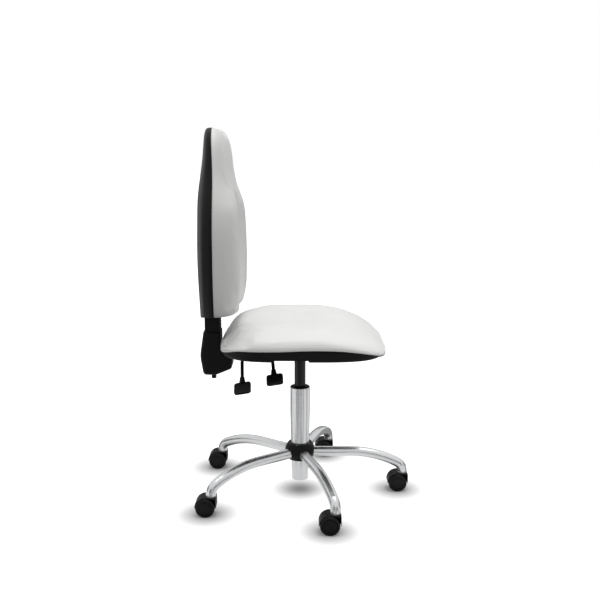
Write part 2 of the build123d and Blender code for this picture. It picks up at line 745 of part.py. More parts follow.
def make_lever_pins():
    """Pins in the box ears that the two levers rock on."""
    with BuildPart() as pins:
        for pivot in (lift_pivot, lock_pivot):
            with Locations(Location(pivot, (0, 90, 0))):
                Cylinder(LEVER_PIN_DIA / 2, EAR_GAP + 2 * BOX_SHEET)
    return pins.part


def make_seat_bolts():
    """Four bolts from the mechanism plate up into the seat board."""
    shank_top = SEAT_SEAM_HEIGHT - SEAT_BOARD_THICKNESS + SEAT_BOLT_ENGAGE
    with BuildPart() as bolts:
        with BuildSketch(Plane.XY.offset(BOX_TOP)):
            with Locations((MECH_CENTRE, 0)):
                with bolt_places():
                    Circle(SEAT_BOLT_DIA / 2)
        extrude(amount=shank_top - BOX_TOP)
        with BuildSketch(Plane.XY.offset(BOX_TOP - SEAT_BOLT_HEAD)):
            with Locations((MECH_CENTRE, 0)):
                with bolt_places():
                    RegularPolygon(SEAT_BOLT_HEAD_DIA / 2, 6, major_radius=False)
        extrude(amount=SEAT_BOLT_HEAD)
    return bolts.part


# ---------------------------------------------------------------- levers


def make_lever_rod(tip, knee, end, pivot):
    """Bent rod with the cross barrel that turns on its pivot pin."""
    outward = (end - knee).normalized()
    outer = end - outward * (PADDLE_LENGTH + PADDLE_NECK_LENGTH - PADDLE_SOCKET_DEPTH)
    with BuildPart() as lever:
        with BuildLine() as path:
            FilletPolyline(tip, knee, outer, radius=4 * LEVER_ROD_DIA)
        with BuildSketch(Plane(origin=path.line @ 0, z_dir=path.line % 0)):
            Circle(LEVER_ROD_DIA / 2)
        sweep()
        with Locations(Location(pivot, (0, 90, 0))):
            Cylinder(LEVER_BARREL_DIA / 2, EAR_GAP - 2 * PAINT_GAP)
            Cylinder(LEVER_PIN_DIA / 2 + FIT_GAP, EAR_GAP, mode=Mode.SUBTRACT)
    return lever.part


def make_paddle(knee, end):
    """Flat T-shaped paddle on the end of a lever rod."""
    outward = (end - knee).normalized()
    neck_start = end - outward * (PADDLE_LENGTH + PADDLE_NECK_LENGTH)
    across = Vector(1, 0, 0).rotate(Axis.Y, -PADDLE_ROLL)
    flat = Plane(origin=end, x_dir=across, z_dir=across.cross(outward))
    middle = PADDLE_LENGTH / 2
    with BuildPart() as paddle:
        with BuildSketch(flat):
            with Locations((0, -middle * flat.to_local_coords(end + outward).Y)):
                RectangleRounded(PADDLE_WIDTH, PADDLE_LENGTH, PADDLE_THICKNESS)
        extrude(amount=PADDLE_THICKNESS / 2, both=True)
        fillet(paddle.faces().sort_by(Axis.Z)[-1].edges(), PADDLE_THICKNESS / 4)
        with BuildSketch(Plane(origin=neck_start, z_dir=outward)):
            Circle(PADDLE_NECK_WIDTH / 2)
        extrude(amount=PADDLE_NECK_LENGTH + PADDLE_THICKNESS, taper=-PADDLE_NECK_FLARE)
        with BuildSketch(Plane(origin=neck_start, z_dir=outward)):
            Circle(LEVER_ROD_DIA / 2)
        extrude(amount=PADDLE_SOCKET_DEPTH, mode=Mode.SUBTRACT)
    return paddle.part


# ---------------------------------------------------------------- seat

seat_middle = (SEAT_REAR + SEAT_FRONT) / 2
seat_half_length = (SEAT_FRONT - SEAT_REAR) / 2
crown_height = SEAT_SEAM_HEIGHT + SEAT_BOLSTER_RISE
SQUARENESS = 4.0  # exponent of the superellipse that the seat's plan follows
LOOP_POINTS = 20

# Seat crown: height as a share of the bolster rise, and how far the rear, front and sides draw in.
SEAT_CROWN = (
    (0.0, 0.0, 2.0, 0.0),
    (0.4, 9.0, 22.0, 1.5),
    (0.7, 27.0, 56.0, 10.0),
    (0.9, 55.0, 100.0, 27.0),
    (1.0, 96.0, 150.0, 55.0),
)


def loop(half_length, half_width, exponent):
    """Points of a superellipse about the origin."""
    points = []
    for step in range(LOOP_POINTS):
        turn = 2 * math.pi * step / LOOP_POINTS
        c, s = math.cos(turn), math.sin(turn)
        points.append(
            (
                half_length * math.copysign(abs(c) ** (2 / exponent), c),
                half_width * math.copysign(abs(s) ** (2 / exponent), s),
            )
        )
    return points


def seat_plan(inset):
    """Sketch of the seat's plan outline, drawn in by inset all round."""
    with BuildSketch() as plan:
        with BuildLine():
            Spline(*loop(seat_half_length - inset, SEAT_HALF_WIDTH - inset, SQUARENESS), periodic=True)
        make_face()
    return plan.sketch.moved(Location((seat_middle, 0, 0)))


def below_seam(lift):
    """Block that fills everything under the seat's seam surface, raised by lift."""
    overrun = 30.0
    nose_end = SEAT_FRONT + overrun
    nose_length = SEAT_FRONT - SEAT_NOSE_START
    nose_drop = SEAT_NOSE_DROP * ((nose_end - SEAT_NOSE_START) / nose_length) ** 2
    tail_end = SEAT_REAR - overrun
    tail_length = SEAT_TAIL_START - SEAT_REAR
    tail_drop = SEAT_TAIL_DROP * ((SEAT_TAIL_START - tail_end) / tail_length) ** 2
    seam = SEAT_SEAM_HEIGHT + lift
    floor = PAN_BOTTOM - 2 * overrun
    with BuildPart() as block:
        with BuildSketch(Plane.XZ):
            with BuildLine():
                TangentArc((SEAT_TAIL_START, seam), (tail_end, seam - tail_drop), tangent=(-1, 0))
                Line((SEAT_TAIL_START, seam), (SEAT_NOSE_START, seam))
                TangentArc((SEAT_NOSE_START, seam), (nose_end, seam - nose_drop), tangent=(1, 0))
                Polyline(
                    (nose_end, seam - nose_drop),
                    (nose_end, floor),
                    (tail_end, floor),
                    (tail_end, seam - tail_drop),
                )
            make_face()
        extrude(amount=SEAT_HALF_WIDTH + overrun, both=True)
    return block.part


def make_seat_board():
    """Plywood board that carries the cushion."""
    with BuildPart() as board:
        with BuildSketch(Plane.XY.offset(SEAT_SEAM_HEIGHT - SEAT_BOARD_THICKNESS)):
            add(seat_plan(SEAT_BOARD_INSET + SEAT_NOSE_DROP))
        extrude(amount=SEAT_BOARD_THICKNESS)
        with BuildSketch(Plane.XY.offset(SEAT_SEAM_HEIGHT - SEAT_BOARD_THICKNESS)):
            with Locations((MECH_CENTRE, 0)):
                with bolt_places():
                    Circle(SEAT_BOLT_DIA / 2)
        extrude(amount=SEAT_BOLT_ENGAGE, mode=Mode.SUBTRACT)
    return board.part


def make_seat_pan():
    """Moulded under-cover with side notches, a hollow and bosses round the bolts."""
    floor = PAN_BOTTOM + PAN_WALL
    board_floor = SEAT_SEAM_HEIGHT - SEAT_BOARD_THICKNESS
    notch_length = PAN_NOTCH_FRONT - PAN_NOTCH_REAR
    with BuildPart() as pan:
        with BuildSketch(Plane.XY.offset(PAN_BOTTOM)):
            add(seat_plan(0))
        extrude(amount=PAN_HEIGHT)
        fillet(pan.edges().group_by(Axis.Z)[0], PAN_EDGE_RADIUS)
        add(below_seam(0), mode=Mode.INTERSECT)
        with BuildSketch(Plane.XY.offset(board_floor)):
            add(seat_plan(SEAT_BOARD_INSET + SEAT_NOSE_DROP))
        extrude(amount=PAN_HEIGHT, mode=Mode.SUBTRACT)
        with BuildSketch(Plane.XY.offset(floor)):
            add(seat_plan(PAN_RIM))
            with Locations((MECH_CENTRE, 0)):
                with bolt_places():
                    Circle(PAN_BOSS_DIA / 2, mode=Mode.SUBTRACT)
        extrude(amount=board_floor - floor, mode=Mode.SUBTRACT)
        with BuildSketch(Plane.XY.offset(PAN_BOTTOM)):
            with Locations((MECH_CENTRE, 0)):
                with bolt_places():
                    Circle(SEAT_BOLT_DIA / 2)
        extrude(amount=PAN_HEIGHT, mode=Mode.SUBTRACT)
        for side in (1, -1):
            with BuildSketch(Plane.XZ.offset(side * SEAT_HALF_WIDTH)):
                with Locations(((PAN_NOTCH_FRONT + PAN_NOTCH_REAR) / 2, PAN_BOTTOM)):
                    Trapezoid(notch_length + PAN_NOTCH_HEIGHT, 2 * PAN_NOTCH_HEIGHT, PAN_NOTCH_SLOPE)
            extrude(amount=-side * PAN_NOTCH_DEPTH, mode=Mode.SUBTRACT)
    return pan.part


def hollow_torus(span, length, depth):
    """Torus about Y whose outside scoops a hollow of this span, length and depth."""
    tube = span**2 / (8 * depth) + depth / 2
    reach = length**2 / (8 * depth) + depth / 2
    with BuildPart() as ring:
        Torus(reach - tube, tube, rotation=(90, 0, 0))
    return ring.part, reach


def stacked_loops(levels):
    """Loft through superellipses: each level is (height, centre, half length, half width)."""
    with BuildPart() as stack:
        for height, centre, half_length, half_width in levels:
            with BuildSketch(Plane((centre, 0, height))):
                with BuildLine():
                    Spline(*loop(half_length, half_width, SQUARENESS), periodic=True)
                make_face()
        loft()
    return stack.part


def make_seat_cushion():
    """Crowned cushion, hollow between its side bolsters, that laps over the board's edge."""
    base = SEAT_SEAM_HEIGHT - SEAT_NOSE_DROP - PAN_WALL
    levels = [(base, seat_middle, seat_half_length, SEAT_HALF_WIDTH)]
    for share, rear, front, side in SEAT_CROWN:
        height = SEAT_SEAM_HEIGHT + share * SEAT_BOLSTER_RISE
        centre = seat_middle + (rear - front) / 2
        half_length = seat_half_length - (rear + front) / 2
        levels.append((height, centre, half_length, SEAT_HALF_WIDTH - side))
    depth = SEAT_BOLSTER_RISE - SEAT_HOLLOW_RISE
    ring, reach = hollow_torus(SEAT_HOLLOW_SPAN, SEAT_HOLLOW_LENGTH, depth)
    ring_height = crown_height - depth + reach
    with BuildPart() as cushion:
        add(stacked_loops(levels))
        add(ring.moved(Location((SEAT_HOLLOW_CENTRE, 0, ring_height))), mode=Mode.SUBTRACT)
        add(below_seam(SOFT_GAP), mode=Mode.SUBTRACT)
        with BuildSketch(Plane.XY.offset(base)):
            add(seat_plan(SEAT_BOARD_INSET + SEAT_NOSE_DROP - SOFT_GAP))
        extrude(amount=SEAT_SEAM_HEIGHT + SOFT_GAP - base, mode=Mode.SUBTRACT)
    return cushion.part


# ---------------------------------------------------------------- back support

sleeve_front = UPRIGHT_X + SLEEVE_DEPTH / 2
sleeve_bottom_height = BOOT_TOP - 3 * BAR_THICKNESS
boot_floor = PIVOT_HEIGHT - 2 * BAR_BEND_RADIUS + BOOT_FLOOR_RISE


def make_back_bar():
    """Flat steel bar: pivot eye, level run, bend and upright."""
    eye_width = BOX_WIDTH - 2 * BOX_SHEET - 2 * PAINT_GAP
    level_end = UPRIGHT_X + BAR_BEND_RADIUS
    with BuildPart() as bar:
        with BuildLine(Plane.XZ) as path:
            level = Line((PIVOT_X, PIVOT_HEIGHT), (level_end, PIVOT_HEIGHT))
            bend = JernArc(level @ 1, level % 1, BAR_BEND_RADIUS, -90)
            Line(bend @ 1, (bend @ 1) + Vector(0, 0, UPRIGHT_TOP - PIVOT_HEIGHT - BAR_BEND_RADIUS))
        with BuildSketch(Plane(origin=path.line @ 0, x_dir=(0, 1, 0), z_dir=path.line % 0)):
            Rectangle(BAR_WIDTH, BAR_THICKNESS)
        sweep()
        with Locations(Location((PIVOT_X, 0, PIVOT_HEIGHT), (90, 0, 0))):
            Cylinder(EYE_DIA / 2, eye_width)
            Cylinder(PIVOT_DIA / 2 + FIT_GAP, eye_width, mode=Mode.SUBTRACT)
    return bar.part


def make_upright_sleeve():
    """Moulded sleeve over the upright, with ratchet grooves down its front."""
    length = SLEEVE_TOP - sleeve_bottom_height
    with BuildPart() as sleeve:
        with BuildSketch(Plane.XY.offset(sleeve_bottom_height)):
            with Locations((UPRIGHT_X, 0)):
                RectangleRounded(SLEEVE_DEPTH, SLEEVE_WIDTH, BAR_THICKNESS / 2)
                Rectangle(BAR_THICKNESS, BAR_WIDTH, mode=Mode.SUBTRACT)
        extrude(amount=length)
        first = BOOT_TOP + SLEEVE_TOOTH_PITCH
        with BuildSketch(Plane.XZ):
            for index in range(SLEEVE_TOOTH_COUNT):
                with Locations((sleeve_front, first + index * SLEEVE_TOOTH_PITCH)):
                    Rectangle(2 * SLEEVE_TOOTH, SLEEVE_TOOTH_PITCH / 2)
        extrude(amount=SLEEVE_WIDTH, both=True, mode=Mode.SUBTRACT)
    return sleeve.part


def boot_side(inset):
    """Side profile of the boot, drawn in by inset all round."""
    front = sleeve_front + BOOT_FRONT_WALL
    rear = UPRIGHT_X - SLEEVE_DEPTH / 2 - BOOT_WALL
    heel = UPRIGHT_X - BOOT_HEEL
    toe = UPRIGHT_X + BOOT_TOE
    toe_top = PIVOT_HEIGHT + BAR_THICKNESS + BOOT_WALL
    with BuildSketch() as side:
        with BuildLine():
            Polyline(
                (front, BOOT_TOP),
                (rear, BOOT_TOP),
                (heel, PIVOT_HEIGHT),
                (heel + BAR_THICKNESS, boot_floor),
                (UPRIGHT_X + BAR_THICKNESS, boot_floor),
                (toe - BAR_THICKNESS / 2, boot_floor + 2 * BAR_THICKNESS),
                (toe, toe_top),
                (front, toe_top + 2 * BAR_THICKNESS),
                close=True,
            )
        make_face()
        corners = side.vertices().sort_by(Axis.Y)[:-2].sort_by(Axis.X)
        fillet(corners[1:], BOOT_CORNER_RADIUS)
        fillet(side.vertices().sort_by(Axis.X)[0], BOOT_HEEL_RADIUS)
        if inset:
            offset(amount=-inset)
    return side.sketch


def make_boot_half(side):
    """Half of the rounded cover over the bend; side is +1 or -1 along Y."""
    half = BOOT_WIDTH / 2
    with BuildPart() as boot:
        with BuildSketch(Plane.XZ):
            add(boot_side(0))
        extrude(amount=-side * half)
        outer = boot.faces().sort_by(Axis.Y)[-1 if side > 0 else 0]
        fillet(outer.edges(), BOOT_EDGE_RADIUS)
        with BuildSketch(Plane.XZ):
            add(boot_side(BOOT_WALL))
        extrude(amount=-side * (half - BOOT_WALL), mode=Mode.SUBTRACT)
        with BuildSketch(Plane.XY.offset(sleeve_bottom_height)):
            with Locations((UPRIGHT_X, 0)):
                RectangleRounded(SLEEVE_DEPTH, SLEEVE_WIDTH, BAR_THICKNESS / 2)
        extrude(amount=SLEEVE_TOP - sleeve_bottom_height, mode=Mode.SUBTRACT)
        with Locations((UPRIGHT_X + BAR_BEND_RADIUS, 0, PIVOT_HEIGHT)):
            Box(2 * BOOT_TOE, BAR_WIDTH, BAR_THICKNESS, mode=Mode.SUBTRACT)
        with Locations((UPRIGHT_X, 0, boot_floor)):
            Cylinder(BOOT_PEG_DIA / 2 - BOOT_WALL, 4 * BOOT_WALL, mode=Mode.SUBTRACT)
    return boot.part


def make_boot_peg():
    """Stop peg under the boot that holds its halves together."""
    with BuildPart() as peg:
        with BuildSketch(Plane.XY.offset(boot_floor - BOOT_PEG_REACH)):
            with Locations((UPRIGHT_X, 0)):
                Circle(BOOT_PEG_DIA / 2)
        extrude(amount=BOOT_PEG_REACH)
        with BuildSketch(Plane.XY.offset(boot_floor)):
            with Locations((UPRIGHT_X, 0)):
                Circle(BOOT_PEG_DIA / 2 - BOOT_WALL)
        extrude(amount=2 * BOOT_WALL)
    return peg.part


# ---------------------------------------------------------------- back

back_loft_bottom = BACK_BOTTOM - BACK_TRIM
back_height = BACK_TOP - back_loft_bottom
CUSHION_SQUARENESS = 3.2  # exponents of the superellipses that the back's sections follow
SHELL_SQUARENESS = 2.4

# Stations up the back: share of the height, then shares of the half width, of the bolster
# depth in front of the seam and of the shell depth behind it.
BACK_STATIONS = (
    (0.0, 0.84, 0.62, 0.93),
    (0.04, 0.90, 0.88, 0.93),
    (0.10, 0.95, 0.96, 0.94),
    (0.23, 0.99, 0.99, 0.98),
    (0.38, 1.0, 0.96, 1.0),
    (0.55, 0.97, 0.89, 0.97),
    (0.67, 0.88, 0.64, 0.92),
    (0.77, 0.78, 0.49, 0.77),
    (0.89, 0.69, 0.46, 0.58),
    (0.96, 0.58, 0.42, 0.49),
    (1.0, 0.36, 0.20, 0.30),
)


def back_lean(height):
    """How far the seam lies behind its upright run at this height."""
    share = max(0.0, height - BACK_LEAN_START) / (BACK_TOP - BACK_LEAN_START)
    return BACK_LEAN * share**2


def back_stack(inset, front):
    """One side of the back, cushion or shell: a loft that is cut to an arc along its bottom."""
    bottom = back_loft_bottom + inset
    with BuildPart() as stack:
        for share, width, cushion, shell in BACK_STATIONS:
            height = bottom + share * (back_height - 2 * inset)
            centre = BACK_SEAM_X - back_lean(height)
            depth = BACK_BOLSTER_DEPTH * cushion if front else BACK_SHELL_DEPTH * shell
            squareness = CUSHION_SQUARENESS if front else SHELL_SQUARENESS
            with BuildSketch(Plane((centre, 0, height))):
                with BuildLine():
                    Spline(
                        *loop(depth - inset, BACK_HALF_WIDTH * width - inset, squareness),
                        periodic=True,
                    )
                make_face()
        loft()
        with BuildSketch(Plane.YZ):
            with Locations((0, bottom + BACK_TRIM + BACK_BOTTOM_RADIUS)):
                Circle(BACK_BOTTOM_RADIUS)
        extrude(amount=back_height, both=True, mode=Mode.INTERSECT)
    return stack.part


def behind_seam(shift):
    """Block that fills everything behind the back's seam surface, moved forward by shift."""
    overrun = 30.0
    seam = BACK_SEAM_X + shift
    rear = seam - 2 * BACK_SHELL_DEPTH
    top = BACK_TOP + overrun
    top_lean = BACK_LEAN * ((top - BACK_LEAN_START) / (BACK_TOP - BACK_LEAN_START)) ** 2
    with BuildPart() as block:
        with BuildSketch(Plane.XZ):
            with BuildLine():
                Line((seam, BACK_BOTTOM - overrun), (seam, BACK_LEAN_START))
                TangentArc((seam, BACK_LEAN_START), (seam - top_lean, top), tangent=(0, 1))
                Polyline(
                    (seam - top_lean, top),
                    (rear, top),
                    (rear, BACK_BOTTOM - overrun),
                    (seam, BACK_BOTTOM - overrun),
                )
            make_face()
        extrude(amount=BACK_HALF_WIDTH + overrun, both=True)
    return block.part


def back_board_blank(grow):
    """Board in front of the seam: the back's outline drawn in, with grow added all round."""
    with BuildPart() as board:
        add(back_stack(BACK_BOARD_INSET - grow, True))
        add(behind_seam(BACK_BOARD_THICKNESS + grow), mode=Mode.INTERSECT)
        add(behind_seam(0), mode=Mode.SUBTRACT)
    return board.part


def carriage_box(depth, grow):
    """Block of this depth behind the seam, as wide and high as the carriage, grown all round."""
    middle = (BACK_SEAM_X - depth / 2, 0, CARRIAGE_BOTTOM + CARRIAGE_HEIGHT / 2)
    with BuildPart() as block:
        with Locations(middle):
            Box(
                depth + 2 * grow,
                SLEEVE_WIDTH + 2 * CARRIAGE_WALL + 2 * grow,
                CARRIAGE_HEIGHT + 2 * grow,
            )
    return block.part


def make_height_carriage():
    """Carriage that slides on the upright sleeve and carries the back board by its flange."""
    flange = BACK_SEAM_X - sleeve_front - PAINT_GAP
    flange_bottom = CARRIAGE_BOTTOM + CARRIAGE_HEIGHT
    with BuildPart() as carriage:
        add(carriage_box(CARRIAGE_DEPTH, 0))
        with Locations(
            (BACK_SEAM_X - flange / 2, 0, flange_bottom + CARRIAGE_FLANGE_HEIGHT / 2),
        ):
            Box(flange, CARRIAGE_FLANGE_WIDTH, CARRIAGE_FLANGE_HEIGHT)
        with BuildSketch(Plane.XY.offset(CARRIAGE_BOTTOM)):
            with Locations((UPRIGHT_X, 0)):
                Rectangle(SLEEVE_DEPTH + 2 * PAINT_GAP, SLEEVE_WIDTH + 2 * PAINT_GAP)
        extrude(amount=CARRIAGE_HEIGHT, mode=Mode.SUBTRACT)
        with BuildSketch(screw_plane()):
            with screw_places():
                Circle(BACK_SCREW_DIA / 2)
        extrude(amount=2 * flange, both=True, mode=Mode.SUBTRACT)
    return carriage.part


def screw_plane():
    """Plane of the back's seam at the middle of the carriage flange, facing the sitter."""
    middle = CARRIAGE_BOTTOM + CARRIAGE_HEIGHT + CARRIAGE_FLANGE_HEIGHT / 2
    return Plane(origin=(BACK_SEAM_X, 0, middle), x_dir=(0, 1, 0), z_dir=(1, 0, 0))


def screw_places():
    """Centres of the four screws in the carriage flange."""
    return GridLocations(BACK_SCREW_SPACING_Y, BACK_SCREW_SPACING_Z, 2, 2)


def make_back_screws():
    """Screws from behind the carriage flange into the back board."""
    flange = BACK_SEAM_X - sleeve_front - PAINT_GAP
    with BuildPart() as screws:
        with BuildSketch(screw_plane().offset(-flange)):
            with screw_places():
                Circle(BACK_SCREW_DIA / 2)
        extrude(amount=flange + BACK_SCREW_BITE)
        with BuildSketch(screw_plane().offset(-flange - BACK_SCREW_HEAD)):
            with screw_places():
                Circle(BACK_SCREW_HEAD_DIA / 2)
        extrude(amount=BACK_SCREW_HEAD)
    return screws.part


def make_back_board():
    """Plywood board inside the back, drilled for the carriage screws."""
    with BuildPart() as board:
        add(back_board_blank(0))
        with BuildSketch(screw_plane()):
            with screw_places():
                Circle(BACK_SCREW_DIA / 2)
        extrude(amount=BACK_SCREW_BITE, mode=Mode.SUBTRACT)
    return board.part


def make_back_shell():
    """Hollow moulded shell behind the back, open in front and round the carriage."""
    with BuildPart() as shell:
        add(back_stack(0, False))
        add(back_stack(BACK_SHELL_WALL, False), mode=Mode.SUBTRACT)
        add(behind_seam(0), mode=Mode.INTERSECT)
        add(carriage_box(2 * CARRIAGE_DEPTH, PAINT_GAP), mode=Mode.SUBTRACT)
    return shell.part


def make_back_cushion():
    """Back cushion with side bolsters and a hollow between them, lapped over the board."""
    depth = BACK_BOLSTER_DEPTH - BACK_HOLLOW_DEPTH
    ring, reach = hollow_torus(BACK_HOLLOW_SPAN, BACK_HOLLOW_LENGTH, depth)
    ring_place = (BACK_SEAM_X + BACK_HOLLOW_DEPTH + reach, 0, BACK_HOLLOW_HEIGHT)
    with BuildPart() as cushion:
        add(back_stack(0, True))
        add(behind_seam(SOFT_GAP), mode=Mode.SUBTRACT)
        add(ring.moved(Location(ring_place)), mode=Mode.SUBTRACT)
        add(back_board_blank(SOFT_GAP), mode=Mode.SUBTRACT)
    return cushion.part


# ---------------------------------------------------------------- the assembly

os.makedirs("parts", exist_ok=True)

keep(make_hub_sleeve(), "hub_sleeve")
keep(make_hub_cover(True), "hub_cover_upper")
keep(make_hub_cover(False), "hub_cover_lower")
for number in range(LEG_COUNT):
    keep(make_leg(number), f"leg_{number + 1}")
keep(make_leg_end_bushes(), "leg_end_bushes")

hood = make_caster_hood()
pins = make_caster_pins()
wheel_left = make_caster_wheel(1)
wheel_right = make_caster_wheel(-1)
for number in range(LEG_COUNT):
    place = Location((*stem_place(number), 0))
    name = f"caster_{number + 1}"
    keep(hood.moved(place), f"{name}_hood")
    keep(pins.moved(place), f"{name}_pins")
    keep(wheel_left.moved(place), f"{name}_wheel_left")
    keep(wheel_right.moved(place), f"{name}_wheel_right")

keep(make_column_tube(), "column_tube")
keep(make_column_guide(), "column_guide")
keep(make_thrust_bearing(), "thrust_bearing")
keep(make_piston_rod(), "piston_rod")
keep(make_rod_clip(), "rod_clip")
keep(make_gas_cylinder(), "gas_cylinder")
keep(make_release_pin(), "release_pin")

keep(make_mechanism_plate(), "mechanism_plate")
keep(make_mechanism_box(), "mechanism_box")
keep(make_taper_socket(), "taper_socket")
keep(make_recline_pin(), "recline_pin")
keep(make_lever_pins(), "lever_pins")
keep(make_seat_bolts(), "seat_bolts")
keep(make_lever_rod(lift_tip, lift_knee, lift_end, lift_pivot), "lift_lever")
keep(make_paddle(lift_knee, lift_end), "lift_paddle")
keep(make_lever_rod(lock_tip, lock_knee, lock_end, lock_pivot), "recline_lever")
keep(make_paddle(lock_knee, lock_end), "recline_paddle")

keep(make_seat_board(), "seat_board")
keep(make_seat_pan(), "seat_pan")
keep(make_seat_cushion(), "seat_cushion")

keep(make_back_bar(), "back_bar")
keep(make_upright_sleeve(), "upright_sleeve")
keep(make_boot_half(1), "boot_left")
keep(make_boot_half(-1), "boot_right")
keep(make_boot_peg(), "boot_peg")
keep(make_height_carriage(), "height_carriage")
keep(make_back_screws(), "back_screws")
keep(make_back_board(), "back_board")
keep(make_back_shell(), "back_shell")
keep(make_back_cushion(), "back_cushion")
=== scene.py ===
"""Looks of a swivel office chair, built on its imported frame, in metres."""

import json
import logging
import math
from dataclasses import dataclass
from enum import Enum
from typing import Callable, Iterable, Sequence

import bmesh
import bpy
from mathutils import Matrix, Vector, noise

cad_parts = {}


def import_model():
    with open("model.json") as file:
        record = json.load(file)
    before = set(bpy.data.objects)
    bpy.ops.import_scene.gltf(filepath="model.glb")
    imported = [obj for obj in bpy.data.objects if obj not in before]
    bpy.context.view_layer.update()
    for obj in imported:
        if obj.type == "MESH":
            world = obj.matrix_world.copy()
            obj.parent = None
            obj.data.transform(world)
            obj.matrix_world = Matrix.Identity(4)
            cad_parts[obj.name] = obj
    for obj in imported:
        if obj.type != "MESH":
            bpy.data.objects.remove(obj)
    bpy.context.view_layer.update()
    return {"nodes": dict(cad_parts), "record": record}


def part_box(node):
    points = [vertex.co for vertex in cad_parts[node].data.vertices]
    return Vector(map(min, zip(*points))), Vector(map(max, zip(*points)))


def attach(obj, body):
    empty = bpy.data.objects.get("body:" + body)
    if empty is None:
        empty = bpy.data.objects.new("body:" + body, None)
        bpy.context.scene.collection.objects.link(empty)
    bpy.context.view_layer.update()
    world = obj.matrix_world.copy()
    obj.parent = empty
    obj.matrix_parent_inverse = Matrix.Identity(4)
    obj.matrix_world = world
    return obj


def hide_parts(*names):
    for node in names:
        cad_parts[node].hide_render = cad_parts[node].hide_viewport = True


LOG = logging.getLogger("office_chair")
MM = 0.001
MERGED_WITHIN = 0.01 * MM
CASTERS = range(1, 6)
CRISP_ANGLE = 30.0
WHITE = (1.0, 1.0, 1.0, 1.0)
BEAD_SIDES = 10
HEAD_SIDES = 20
SOCKET_SIDES = 6

# A screw head's height, its socket's radius and its top's radius, as shares of its own radius.
HEAD_SHARES = (0.5, 0.45, 0.72)

Point = tuple[float, float, float]
Row = Sequence[float]
Tree = bpy.types.NodeTree
Node = bpy.types.Node
Socket = bpy.types.NodeSocket
Piece = bpy.types.Object
Forward = Callable[[Vector, float, float, float], float]


class Hand(Enum):
    """The sitter's two sides, as a sign along Y."""

    LEFT = 1
    RIGHT = -1


# ---------------------------------------------------------------- colours and shader nodes


def linear(code: str) -> tuple[float, float, float, float]:
    """Turns an sRGB hex colour into linear RGBA.

    Args:
        code: Six hex digits after a hash.

    Returns:
        Red, green, blue and an alpha of one.
    """
    shares = [int(code[place : place + 2], 16) / 255 for place in (1, 3, 5)]
    red, green, blue = (
        share / 12.92 if share <= 0.04045 else ((share + 0.055) / 1.055) ** 2.4
        for share in shares
    )
    return red, green, blue, 1.0


def add_node(tree: Tree, kind: str, settings: dict | None = None, inputs: dict | None = None) -> Node:
    """Adds one node with its settings, values and links.

    Args:
        tree: The tree that gets the node.
        kind: The node's type name.
        settings: Attributes of the node.
        inputs: Input name or number, with a value or another node's output.

    Returns:
        The new node.
    """
    node = tree.nodes.new(kind)
    for name, value in (settings or {}).items():
        setattr(node, name, value)
    for name, value in (inputs or {}).items():
        if isinstance(value, Socket):
            tree.links.new(value, node.inputs[name])
        else:
            node.inputs[name].default_value = value
    return node


def calc(tree: Tree, operation: str, *terms: float | Socket) -> Socket:
    """Adds a maths node for numbers or other nodes' results, and returns its own result."""
    return add_node(tree, "ShaderNodeMath", {"operation": operation}, dict(enumerate(terms))).outputs[0]


def add_object(name: str, data: bpy.types.ID) -> Piece:
    """Makes an object and puts it in the scene.

    Args:
        name: The object's name.
        data: Its mesh, curve, lamp or camera.

    Returns:
        The new object.
    """
    made = bpy.data.objects.new(name, data)
    bpy.context.scene.collection.objects.link(made)
    return made


# ---------------------------------------------------------------- finishes


